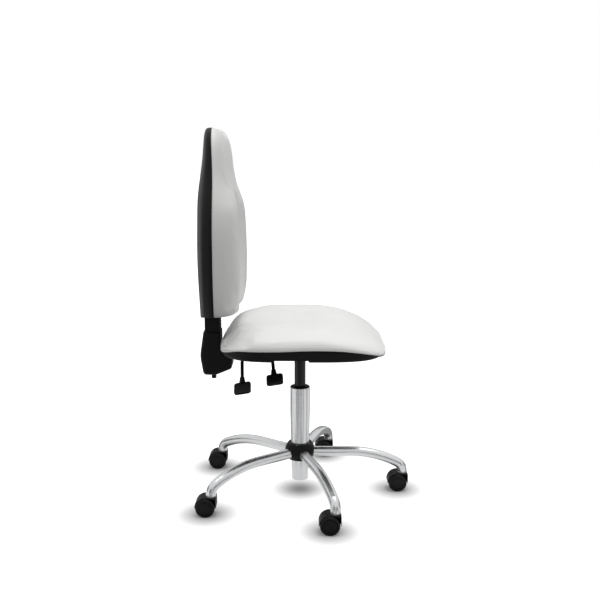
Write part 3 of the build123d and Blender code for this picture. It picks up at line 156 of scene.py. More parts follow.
@dataclass(frozen=True)
class Finish:
    """What every finish shares: a name, a colour and how rough the surface is."""

    name: str
    colour: str
    roughness: float
    metallic: float = 0.0
    specular: float = 0.5

    def material(self) -> bpy.types.Material:
        """Makes this finish's material the first time it is asked for.

        Returns:
            The material.
        """
        known = bpy.data.materials.get(self.name)
        if known:
            return known
        made = bpy.data.materials.new(self.name)
        made.use_nodes = True
        tree = made.node_tree
        shader = tree.nodes["Principled BSDF"]
        shader.inputs["Base Color"].default_value = linear(self.colour)
        shader.inputs["Roughness"].default_value = self.roughness
        shader.inputs["Metallic"].default_value = self.metallic
        if not self.metallic:
            shader.inputs["Specular IOR Level"].default_value = self.specular
        where = add_node(tree, "ShaderNodeTexCoord").outputs["Object"]
        self.pattern(tree, shader, where)
        return made

    def pattern(self, tree: Tree, shader: Node, where: Socket) -> None:
        """Draws the finish's own detail.

        Args:
            tree: The material's node tree.
            shader: Its Principled shader.
            where: Object coordinates, in metres.
        """
        raise NotImplementedError

    def speckle(self, tree: Tree, where: Socket, size: float, detail: float = 3.0) -> Socket:
        """Noise of one feature size.

        Args:
            tree: The material's node tree.
            where: Coordinates in metres.
            size: Width of a feature, in metres.
            detail: Octaves of finer noise.

        Returns:
            The noise's value output.
        """
        noisy = {"Vector": where, "Scale": 1 / size, "Detail": detail}
        return add_node(tree, "ShaderNodeTexNoise", None, noisy).outputs["Fac"]

    def between(
        self, tree: Tree, value: Socket, low: float, high: float, start: float = 0.0, end: float = 1.0
    ) -> Socket:
        """Spreads a value over a range.

        Args:
            tree: The material's node tree.
            value: The value to spread.
            low: Result where the value starts.
            high: Result where the value ends.
            start: Lowest value that counts.
            end: Highest value that counts.

        Returns:
            The output with the spread value.
        """
        made = add_node(
            tree, "ShaderNodeMapRange", None,
            {"Value": value, "From Min": start, "From Max": end, "To Min": low, "To Max": high},
        )
        return made.outputs["Result"]

    def vary_gloss(self, tree: Tree, shader: Node, value: Socket, smoother: float, rougher: float) -> None:
        """Varies the roughness about the finish's own.

        Args:
            tree: The material's node tree.
            shader: The shader that gets the roughness.
            value: Where between the two ends a spot lies, nought to one.
            smoother: How much less rough it gets at nought.
            rougher: How much rougher it gets at one.
        """
        rough = self.between(tree, value, self.roughness - smoother, self.roughness + rougher)
        tree.links.new(rough, shader.inputs["Roughness"])

    def bump(self, tree: Tree, shader: Node, height: Socket, depth: float, strength: float) -> None:
        """Adds relief to the shader.

        Args:
            tree: The material's node tree.
            shader: The shader that gets the relief.
            height: Output with the height, nought to one.
            depth: Depth of the relief, in metres.
            strength: Share of the relief that shows.
        """
        made = add_node(
            tree, "ShaderNodeBump", None, {"Height": height, "Distance": depth, "Strength": strength}
        )
        tree.links.new(made.outputs["Normal"], shader.inputs["Normal"])

    def tint(self, tree: Tree, shader: Node, value: Socket, other: str) -> None:
        """Varies the base colour.

        Args:
            tree: The material's node tree.
            shader: The shader that gets the colour.
            value: How much of the other colour shows, nought to one.
            other: The other colour, as sRGB hex.
        """
        made = add_node(
            tree, "ShaderNodeMix", {"data_type": "RGBA"},
            {"Factor": value, 6: linear(self.colour), 7: linear(other)},
        )
        tree.links.new(made.outputs[2], shader.inputs["Base Color"])


@dataclass(frozen=True)
class ChromePlate(Finish):
    """Polished chrome on steel tube: a mirror between fine polishing marks that haze it."""

    haze: float = 0.34
    marks_apart: float = 0.6 * MM

    def pattern(self, tree: Tree, shader: Node, where: Socket) -> None:
        """Hazy polishing marks 0.6 mm apart, drawn coarser than the real ones, with mirror between.

        Args:
            tree: The material's node tree.
            shader: Its Principled shader.
            where: Object coordinates, in metres.
        """
        marks = self.speckle(tree, where, self.marks_apart, detail=1.0)
        dull = self.roughness + self.haze
        rough = self.between(tree, marks, self.roughness, dull, start=0.4, end=0.6)
        tree.links.new(rough, shader.inputs["Roughness"])
        self.bump(tree, shader, marks, depth=0.002 * MM, strength=0.2)


@dataclass(frozen=True)
class PaintedSteel(Finish):
    """Powder coat: even colour, soft gloss and an orange-peel skin."""

    edge: str = "#1A1A1C"

    def pattern(self, tree: Tree, shader: Node, where: Socket) -> None:
        """Orange peel with lumps 2.5 mm apart and a faint change of tone every 60 mm.

        Args:
            tree: The material's node tree.
            shader: Its Principled shader.
            where: Object coordinates, in metres.
        """
        peel = self.speckle(tree, where, size=2.5 * MM, detail=2.0)
        self.bump(tree, shader, peel, depth=0.06 * MM, strength=0.5)
        tone = self.speckle(tree, where, size=60 * MM)
        self.tint(tree, shader, self.between(tree, tone, low=0.0, high=0.6), self.edge)
        self.vary_gloss(tree, shader, tone, smoother=0.05, rougher=0.07)


@dataclass(frozen=True)
class MouldedPlastic(Finish):
    """Injection-moulded plastic with a spark-eroded grain that scatters the light softly."""

    rubbed: str = "#343436"
    grain: float = 0.9 * MM
    relief: float = 0.05 * MM

    def pattern(self, tree: Tree, shader: Node, where: Socket) -> None:
        """Leathery grain from cell edges, with cloudy gloss where hands have rubbed it.

        Args:
            tree: The material's node tree.
            shader: Its Principled shader.
            where: Object coordinates, in metres.
        """
        cells = add_node(
            tree, "ShaderNodeTexVoronoi", {"feature": "SMOOTH_F1"},
            {"Vector": where, "Scale": 1 / self.grain, "Smoothness": 0.6},
        )
        self.bump(tree, shader, cells.outputs["Distance"], self.relief, strength=0.6)
        cloud = self.speckle(tree, where, size=45 * MM, detail=4.0)
        self.tint(tree, shader, self.between(tree, cloud, low=0.0, high=0.5), self.rubbed)
        self.vary_gloss(tree, shader, cloud, smoother=0.07, rougher=0.09)


@dataclass(frozen=True)
class CoatedFabric(Finish):
    """Polyurethane-coated upholstery fabric: pale, smooth, with a fine pebble grain."""

    shade: str = "#D9DAD7"
    pebble: float = 1.3 * MM
    relief: float = 0.07 * MM
    foam_share: float = 4.0

    def pattern(self, tree: Tree, shader: Node, where: Socket) -> None:
        """Pebbles 1.3 mm wide over the soft unevenness of the foam below.

        Args:
            tree: The material's node tree.
            shader: Its Principled shader.
            where: Object coordinates, in metres.
        """
        cells = add_node(
            tree, "ShaderNodeTexVoronoi", {"feature": "SMOOTH_F1"},
            {"Vector": where, "Scale": 1 / self.pebble, "Smoothness": 0.8},
        )
        foam = self.speckle(tree, where, size=35 * MM, detail=2.0)
        both = calc(tree, "MULTIPLY_ADD", foam, self.foam_share, cells.outputs["Distance"])
        self.bump(tree, shader, both, self.relief, strength=0.35)
        cloud = self.speckle(tree, where, size=90 * MM, detail=3.0)
        self.tint(tree, shader, self.between(tree, cloud, low=0.0, high=0.55), self.shade)
        self.vary_gloss(tree, shader, cloud, smoother=0.04, rougher=0.06)
        shader.inputs["Sheen Weight"].default_value = 0.08
        shader.inputs["Sheen Roughness"].default_value = 0.5


@dataclass(frozen=True)
class GroundSteel(Finish):
    """Bright ground or turned steel: fine lines round the axis blur the reflection."""

    lines: float = 0.35 * MM

    def pattern(self, tree: Tree, shader: Node, where: Socket) -> None:
        """Turning lines 0.35 mm apart along Z, drawn coarser than real grinding marks.

        Args:
            tree: The material's node tree.
            shader: Its Principled shader.
            where: Object coordinates, in metres.
        """
        stretched = add_node(
            tree, "ShaderNodeMapping", None, {"Vector": where, "Scale": (0.05, 0.05, 1.0)}
        )
        marks = self.speckle(tree, stretched.outputs["Vector"], self.lines, detail=2.0)
        self.bump(tree, shader, marks, depth=0.01 * MM, strength=0.5)
        self.vary_gloss(tree, shader, marks, smoother=0.05, rougher=0.1)


@dataclass(frozen=True)
class BeechPly(Finish):
    """Raw pressed beech plywood: pale face grain with short dark flecks."""

    fleck: str = "#9C7B55"

    def pattern(self, tree: Tree, shader: Node, where: Socket) -> None:
        """Grain 3 mm wide that runs along X, with flecks drawn out to 30 mm.

        Args:
            tree: The material's node tree.
            shader: Its Principled shader.
            where: Object coordinates, in metres.
        """
        along = add_node(
            tree, "ShaderNodeMapping", None, {"Vector": where, "Scale": (0.1, 1.0, 1.0)}
        )
        grain = self.speckle(tree, along.outputs["Vector"], size=3 * MM, detail=5.0)
        self.tint(tree, shader, self.between(tree, grain, low=0.0, high=0.8), self.fleck)
        self.bump(tree, shader, grain, depth=0.08 * MM, strength=0.5)


@dataclass(frozen=True)
class MattCard(Finish):
    """Matt grey card of the studio, which darkens away from the chair."""

    far_colour: str = "#404040"
    near: float = 0.35
    far: float = 0.95

    def pattern(self, tree: Tree, shader: Node, where: Socket) -> None:
        """Runs from one tone to the other with the distance from the chair's axis.

        Args:
            tree: The material's node tree.
            shader: Its Principled shader.
            where: Object coordinates, in metres.
        """
        away = add_node(tree, "ShaderNodeVectorMath", {"operation": "LENGTH"}, {0: where})
        share = self.between(tree, away.outputs["Value"], 0.0, 1.0, start=self.near, end=self.far)
        self.tint(tree, shader, share, self.far_colour)


CHROME = ChromePlate("chrome_plate_on_tube", "#D1D2D3", 0.14, 1.0)
NITRIDED_STEEL = PaintedSteel("black_nitrided_cylinder", "#0C0C0E", 0.28, specular=0.3)
POWDER_COAT = PaintedSteel("black_powder_coat", "#0C0C0E", 0.42, specular=0.25)
SHELL_PLASTIC = MouldedPlastic("grained_polypropylene", "#0D0D0E", 0.5, specular=0.14, rubbed="#1E1E20")
GUARD_PLASTIC = MouldedPlastic(
    "grained_nylon", "#0B0B0C", 0.5, specular=0.15, rubbed="#1A1A1B", grain=0.7 * MM
)
WHEEL_PLASTIC = MouldedPlastic(
    "moulded_nylon_wheel", "#0B0B0C", 0.42, specular=0.2, rubbed="#1B1B1C", grain=0.5 * MM
)
PALE_PLASTIC = MouldedPlastic("pale_acetal", "#B9BABC", 0.38, rubbed="#A8A9AB", relief=0.02 * MM)
SEAT_FABRIC = CoatedFabric("coated_fabric_seat", "#E9E9E8", 0.44)
# The back wears a darker copy of the seat's pale fabric, in its colour and its mottle, which paints in the
# shade that the back stands in.
BACK_FABRIC_PAINTED_SHADE = CoatedFabric("coated_fabric_back_painted_shade", "#DBDBDA", 0.46, shade="#CDCECB")
BRIGHT_STEEL = GroundSteel("ground_steel", "#A9ABAE", 0.3, 1.0)
PLATED_SCREW = GroundSteel("zinc_plated_steel", "#8F9193", 0.38, 1.0, lines=0.2 * MM)
PLYWOOD = BeechPly("beech_plywood", "#C9A77C", 0.6)

SLOT_FINISHES = {
    "leg_chrome": CHROME,
    "column_chrome": CHROME,
    "cylinder_steel": NITRIDED_STEEL,
    "rod_steel": BRIGHT_STEEL,
    "bearing_steel": BRIGHT_STEEL,
    "pin_steel": PLATED_SCREW,
    "caster_steel": BRIGHT_STEEL,
    "hub_steel": POWDER_COAT,
    "hub_plastic": GUARD_PLASTIC,
    "guide_plastic": GUARD_PLASTIC,
    "bush_plastic": PALE_PLASTIC,
    "mechanism_paint": POWDER_COAT,
    "lever_paint": POWDER_COAT,
    "bar_paint": POWDER_COAT,
    "paddle_plastic": GUARD_PLASTIC,
    "boot_plastic": SHELL_PLASTIC,
    "carriage_plastic": GUARD_PLASTIC,
    "shell_plastic": SHELL_PLASTIC,
    "hood_plastic": GUARD_PLASTIC,
    "wheel_plastic": WHEEL_PLASTIC,
    "plywood": PLYWOOD,
    "seat_vinyl": SEAT_FABRIC,
    "back_vinyl": BACK_FABRIC_PAINTED_SHADE,
}


def dress_frame(frame: dict) -> None:
    """Gives every node of the frame the finish of its material slot.
    """
    for entry in frame["record"]["subparts"]:
        node = frame["nodes"][entry["node"]]
        finish = SLOT_FINISHES[entry["material_slot"]]
        for slot in node.material_slots:
            slot.material = finish.material()
        LOG.info("%s wears %s", entry["node"], finish.name)


# ---------------------------------------------------------------- meshes


def new_piece(
    name: str, points: Iterable[Point], faces: Iterable[Sequence[int]], finish: Finish
) -> Piece:
    """Makes a closed mesh object with faces outwards.

    Args:
        name: The piece's name.
        points: Corner points, in metres.
        faces: Faces, as numbers of points.
        finish: What the piece wears.

    Returns:
        The new object.
    """
    mesh = bpy.data.meshes.new(name)
    mesh.from_pydata([tuple(point) for point in points], [], [tuple(face) for face in faces])
    shaped = bmesh.new()
    shaped.from_mesh(mesh)
    bmesh.ops.remove_doubles(shaped, verts=shaped.verts, dist=MERGED_WITHIN)
    bmesh.ops.recalc_face_normals(shaped, faces=shaped.faces)
    shaped.to_mesh(mesh)
    shaped.free()
    mesh.materials.append(finish.material())
    return add_object(name, mesh)


def bridged(loops: Sequence[Sequence[Point]]) -> tuple[list[Point], list[Sequence[int]]]:
    """Joins closed loops of equal length into a skin and closes both ends.

    Args:
        loops: Loops of points, in order.

    Returns:
        Points and faces of the closed skin.
    """
    count = len(loops[0])
    points = [tuple(point) for loop in loops for point in loop]
    faces: list[Sequence[int]] = []
    for level in range(len(loops) - 1):
        low, high = level * count, (level + 1) * count
        for step in range(count):
            after = (step + 1) % count
            faces.append((low + step, low + after, high + after, high + step))
    for start in (0, (len(loops) - 1) * count):
        rim = points[start : start + count]
        points.append(tuple(sum(point[axis] for point in rim) / count for axis in range(3)))
        hub = len(points) - 1
        faces += [(start + step, start + (step + 1) % count, hub) for step in range(count)]
    return points, faces


def smooth_rows(rows: Sequence[Row], share: float) -> list[float]:
    """Runs a smooth curve through equally spaced rows of numbers.

    Args:
        rows: The rows to pass through.
        share: Place along them, from nought to one.

    Returns:
        The row at that place.
    """
    spans = len(rows) - 1
    place = min(max(share, 0.0), 1.0) * spans
    index = min(int(place), spans - 1)
    u = place - index
    around = (rows[max(index - 1, 0)], rows[index], rows[index + 1], rows[min(index + 2, spans)])
    return [
        0.5 * (2 * b + (c - a) * u + (2 * a - 5 * b + 4 * c - d) * u**2 + (3 * b - a - 3 * c + d) * u**3)
        for a, b, c, d in zip(*around)
    ]


def smooth_value(values: Row, share: float) -> float:
    """Runs a smooth curve through equally spaced numbers, and reads it at a share of their run."""
    return smooth_rows([(value,) for value in values], share)[0]


def circle(radius: float, steps: int) -> list[tuple[float, float]]:
    """Points of a circle about nought, anticlockwise."""
    turns = [2 * math.pi * step / steps for step in range(steps)]
    return [(radius * math.cos(turn), radius * math.sin(turn)) for turn in turns]


def spot_at(reach: float, turn: float, height: float) -> Point:
    """Point at a distance from the chair's axis, a direction in degrees and a height."""
    return reach * math.cos(math.radians(turn)), reach * math.sin(math.radians(turn)), height


def superellipse(half_x: float, half_y: float, power: float, turn: float) -> tuple[float, float]:
    """Point of a rounded rectangle at one angle.

    Args:
        half_x: Half size along X.
        half_y: Half size along Y.
        power: How square it is; two is an ellipse.
        turn: The angle, in radians.

    Returns:
        The point's X and Y.
    """
    c, s = math.cos(turn), math.sin(turn)
    return (
        half_x * math.copysign(abs(c) ** (2 / power), c),
        half_y * math.copysign(abs(s) ** (2 / power), s),
    )


def hump(*shares: float) -> float:
    """Smooth hump: one in the middle, nought where the shares' squares add up to one."""
    inside = max(0.0, 1 - sum(share**2 for share in shares))
    return inside * inside * (3 - 2 * inside)


def shade_smooth(piece: Piece, angle: float = 180.0) -> None:
    """Shades a mesh smooth, with edges sharper than the angle kept crisp.

    Args:
        piece: The object to shade.
        angle: The angle, in degrees.
    """
    for face in piece.data.polygons:
        face.use_smooth = True
    if angle < 180:
        shaped = bmesh.new()
        shaped.from_mesh(piece.data)
        for edge in shaped.edges:
            if len(edge.link_faces) == 2 and edge.calc_face_angle() > math.radians(angle):
                edge.smooth = False
        shaped.to_mesh(piece.data)
        shaped.free()


def applied(piece: Piece) -> None:
    """Turns a piece's modifiers into its plain mesh.

    Args:
        piece: The object that has them.
    """
    graph = bpy.context.evaluated_depsgraph_get()
    graph.update()
    plain = bpy.data.meshes.new_from_object(piece.evaluated_get(graph))
    piece.modifiers.clear()
    piece.data = plain


# ---------------------------------------------------------------- patterns that follow a rule


class Pattern:
    """Geometry Nodes trees for what repeats on the chair or follows a path."""

    def __init__(self, name: str, sizes: dict[str, tuple[str, float]]) -> None:
        """Starts a tree with its named inputs.

        Args:
            name: The tree's name.
            sizes: Input name, with its socket type and value.
        """
        self.tree = bpy.data.node_groups.new(name, "GeometryNodeTree")
        self.values: dict[str, float] = {}
        self.tree.interface.new_socket("Geometry", in_out="INPUT", socket_type="NodeSocketGeometry")
        self.tree.interface.new_socket("Geometry", in_out="OUTPUT", socket_type="NodeSocketGeometry")
        for label, (kind, value) in sizes.items():
            socket = self.tree.interface.new_socket(label, in_out="INPUT", socket_type=kind)
            self.values[socket.identifier] = value
        self.source = add_node(self.tree, "NodeGroupInput")

    def close(self, geometry: Socket, finish: Finish) -> None:
        """Ends the tree in Realize Instances and Set Material.

        Args:
            geometry: What the tree made.
            finish: What it wears.
        """
        real = add_node(self.tree, "GeometryNodeRealizeInstances", None, {"Geometry": geometry})
        worn = add_node(
            self.tree, "GeometryNodeSetMaterial", None,
            {"Geometry": real.outputs["Geometry"], "Material": finish.material()},
        )
        add_node(self.tree, "NodeGroupOutput", None, {"Geometry": worn.outputs["Geometry"]})

    def grow(self, name: str, base: bpy.types.ID) -> Piece:
        """Runs the tree on base data and returns a plain mesh object.

        Args:
            name: The new piece's name.
            base: Mesh or curve data that the tree starts from.

        Returns:
            The new object, with no modifier left.
        """
        seed = add_object(name + "_seed", base)
        modifier = seed.modifiers.new(self.tree.name, "NODES")
        modifier.node_group = self.tree
        for identifier, value in self.values.items():
            modifier[identifier] = value
        graph = bpy.context.evaluated_depsgraph_get()
        graph.update()
        plain = bpy.data.meshes.new_from_object(seed.evaluated_get(graph))
        seed.modifiers.clear()
        bpy.data.objects.remove(seed)
        plain.name = name
        return add_object(name, plain)


def bead(name: str, path: Sequence[Point], radius: float, finish: Finish) -> Piece:
    """Round bead that follows a closed path.

    Args:
        name: The piece's name.
        path: Points of the closed path.
        radius: The bead's radius.
        finish: What it wears.

    Returns:
        The bead as a plain mesh.
    """
    made = Pattern(name + "_tree", {"Bead radius": ("NodeSocketFloat", radius)})
    section = add_node(
        made.tree, "GeometryNodeCurvePrimitiveCircle", None,
        {"Resolution": BEAD_SIDES, "Radius": made.source.outputs["Bead radius"]},
    )
    swept = add_node(
        made.tree, "GeometryNodeCurveToMesh", None,
        {"Curve": made.source.outputs["Geometry"], "Profile Curve": section.outputs["Curve"]},
    )
    made.close(swept.outputs["Mesh"], finish)
    curve = bpy.data.curves.new(name + "_path", "CURVE")
    curve.dimensions = "3D"
    spline = curve.splines.new("POLY")
    spline.points.add(len(path) - 1)
    for spot, place in zip(spline.points, path):
        spot.co = (*place, 1.0)
    spline.use_cyclic_u = True
    piece = made.grow(name, curve)
    shade_smooth(piece)
    return piece


def screw_heads(name: str, places: Sequence[tuple[Point, Point]], radius: float, finish: Finish) -> Piece:
    """Domed screw heads with a hexagon socket, one at each place.

    Args:
        name: The piece's name.
        places: Point and outward direction of each head.
        radius: Radius of a head.
        finish: What they wear.

    Returns:
        The heads as one plain mesh.
    """
    made = Pattern(name + "_tree", {"Head radius": ("NodeSocketFloat", radius)})
    size = made.source.outputs["Head radius"]
    height, socket, crown = (calc(made.tree, "MULTIPLY", size, share) for share in HEAD_SHARES)
    head = add_node(
        made.tree, "GeometryNodeMeshCone", None,
        {"Vertices": HEAD_SIDES, "Radius Top": crown, "Radius Bottom": size, "Depth": height},
    )
    recess = add_node(
        made.tree, "GeometryNodeMeshCylinder", None,
        {"Vertices": SOCKET_SIDES, "Radius": socket, "Depth": height},
    )
    lifted = add_node(made.tree, "ShaderNodeCombineXYZ", None, {"Z": height})
    raised = add_node(
        made.tree, "GeometryNodeTransform", None,
        {"Geometry": recess.outputs["Mesh"], "Translation": lifted.outputs[0]},
    )
    cut = add_node(
        made.tree, "GeometryNodeMeshBoolean", {"operation": "DIFFERENCE"},
        {"Mesh 1": head.outputs["Mesh"], "Mesh 2": raised.outputs["Geometry"]},
    )
    facing = add_node(
        made.tree, "GeometryNodeInputNamedAttribute", {"data_type": "FLOAT_VECTOR"}, {"Name": "facing"}
    )
    turn = add_node(
        made.tree, "FunctionNodeAlignRotationToVector", {"axis": "Z"},
        {"Vector": facing.outputs["Attribute"]},
    )
    placed = add_node(
        made.tree, "GeometryNodeInstanceOnPoints", None,
        {
            "Points": made.source.outputs["Geometry"],
            "Instance": cut.outputs["Mesh"],
            "Rotation": turn.outputs["Rotation"],
        },
    )
    made.close(placed.outputs["Instances"], finish)
    base = bpy.data.meshes.new(name + "_points")
    base.from_pydata([place for place, _ in places], [], [])
    directions = base.attributes.new("facing", "FLOAT_VECTOR", "POINT")
    for spot, (_, direction) in zip(directions.data, places):
        spot.vector = direction
    piece = made.grow(name, base)
    shade_smooth(piece, CRISP_ANGLE)
    return piece


def ribs_round(name: str, centre: Point, axis: Hand, count: int, sizes: Row, finish: Finish) -> Piece:
    """Low ribs that radiate round an axle along Y.

    Args:
        name: The piece's name.
        centre: Middle of the ring.
        axis: Side that the ribs face.
        count: Number of ribs.
        sizes: Ring radius, rib length, width and height.
        finish: What they wear.

    Returns:
        The ribs as one plain mesh.
    """
    labels = ("Ring radius", "Rib length", "Rib width", "Rib height")
    inputs = {"Count": ("NodeSocketInt", count)}
    inputs.update({label: ("NodeSocketFloat", size) for label, size in zip(labels, sizes)})
    made = Pattern(name + "_tree", inputs)
    ring = add_node(
        made.tree, "GeometryNodeMeshCircle", None,
        {"Vertices": made.source.outputs["Count"], "Radius": made.source.outputs["Ring radius"]},
    )
    rib_size = add_node(
        made.tree, "ShaderNodeCombineXYZ", None,
        {
            "X": made.source.outputs["Rib length"],
            "Y": made.source.outputs["Rib width"],
            "Z": made.source.outputs["Rib height"],
        },
    )
    rib = add_node(made.tree, "GeometryNodeMeshCube", None, {"Size": rib_size.outputs[0]})
    outward = add_node(made.tree, "GeometryNodeInputPosition")
    turn = add_node(
        made.tree, "FunctionNodeAlignRotationToVector", {"axis": "X"},
        {"Vector": outward.outputs["Position"]},
    )
    placed = add_node(
        made.tree, "GeometryNodeInstanceOnPoints", None,
        {
            "Points": ring.outputs["Mesh"],
            "Instance": rib.outputs["Mesh"],
            "Rotation": turn.outputs["Rotation"],
        },
    )
    laid = add_node(
        made.tree, "GeometryNodeTransform", None,
        {
            "Geometry": placed.outputs["Instances"],
            "Translation": centre,
            "Rotation": (axis.value * -math.pi / 2, 0.0, 0.0),
        },
    )
    made.close(laid.outputs["Geometry"], finish)
    return made.grow(name, bpy.data.meshes.new(name + "_base"))


# ---------------------------------------------------------------- cushions


@dataclass
class Cushion:
    """What the two cushions share: a cover that cloth blows out and that its seam holds."""

    name: str
    node: str
    body: str
    slot: str
    finish: Finish
    # The cover starts this much smaller, moves no further than the cap, and gives less and less
    # over this many loops down to the seam.
    shrink: float = 1.5 * MM
    cap: float = 3 * MM
    seam_loops: int = 14
    pressure: float = 5.0
    frames: int = 14
    clearance: float = 0.4 * MM

    # Settings of the cloth that blows the cover out.
    CLOTH = {
        "quality": 5,
        "mass": 0.3,
        "tension_stiffness": 30,
        "compression_stiffness": 30,
        "bending_stiffness": 8,
        "use_pressure": True,
    }

    def held_loops(self) -> list[list[Point]]:
        """Loops behind the seam.

        Returns:
            The loops, from the middle of the board out to the seam.
        """
        raise NotImplementedError

    def free_loops(self) -> list[list[Point]]:
        """Loops in front of the seam.

        Returns:
            The loops, from just past the seam to the middle.
        """
        raise NotImplementedError

    def cleared(self, spot: Vector) -> Vector:
        """Moves a free point that lies behind the seam back in front of it.

        Args:
            spot: Where the point lies.

        Returns:
            Where it may lie.
        """
        raise NotImplementedError

    def build(self) -> Piece:
        """Returns:
            The finished cushion.
        """
        held = self.held_loops()
        free = self.free_loops()
        piece = new_piece(self.name, *bridged(held + free), self.finish)
        first_free = len(held) * len(held[0])
        last_free = first_free + len(free) * len(free[0])
        self.inflate(piece, range(first_free, last_free), len(held[0]))
        for number in range(first_free, last_free):
            vertex = piece.data.vertices[number]
            vertex.co = self.cleared(vertex.co)
        shade_smooth(piece)
        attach(piece, self.body)
        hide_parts(self.node)
        LOG.info("%s has %d points", self.name, len(piece.data.vertices))
        return piece

    def inflate(self, piece: Piece, free: range, around: int) -> None:
        """Blows the cover out by cloth simulation, each point no further than the cap.

        The loops next to the seam move less, because the staples behind it hold the cover tight.

        Args:
            piece: The cushion, smooth and closed.
            free: Numbers of the points that the seam doesn't hold.
            around: How many points a loop has.
        """
        before = [vertex.co.copy() for vertex in piece.data.vertices]
        normals = [vertex.normal.copy() for vertex in piece.data.vertices]
        give = {number: min(1.0, (number - free.start) // around / self.seam_loops) for number in free}
        for number in free:
            piece.data.vertices[number].co -= normals[number] * self.shrink * give[number]
        held = piece.vertex_groups.new(name="seam")
        held.add([number for number in range(len(before)) if number not in free], 1.0, "REPLACE")
        cloth = piece.modifiers.new("cover", "CLOTH")
        for setting, value in self.CLOTH.items():
            setattr(cloth.settings, setting, value)
        cloth.settings.vertex_group_mass = held.name
        cloth.settings.uniform_pressure_force = self.pressure
        cloth.settings.effector_weights.gravity = 0
        cloth.collision_settings.use_collision = False
        cloth.point_cache.frame_start = 1
        cloth.point_cache.frame_end = self.frames
        scene = bpy.context.scene
        for frame_number in range(1, self.frames + 1):
            scene.frame_set(frame_number)
        applied(piece)
        scene.frame_set(1)
        for number in free:
            vertex = piece.data.vertices[number]
            start = before[number] - normals[number] * self.shrink * give[number]
            shift = vertex.co - start
            most = self.cap * give[number]
            if shift.length > most:
                shift = shift * (most / shift.length)
            vertex.co = start + shift


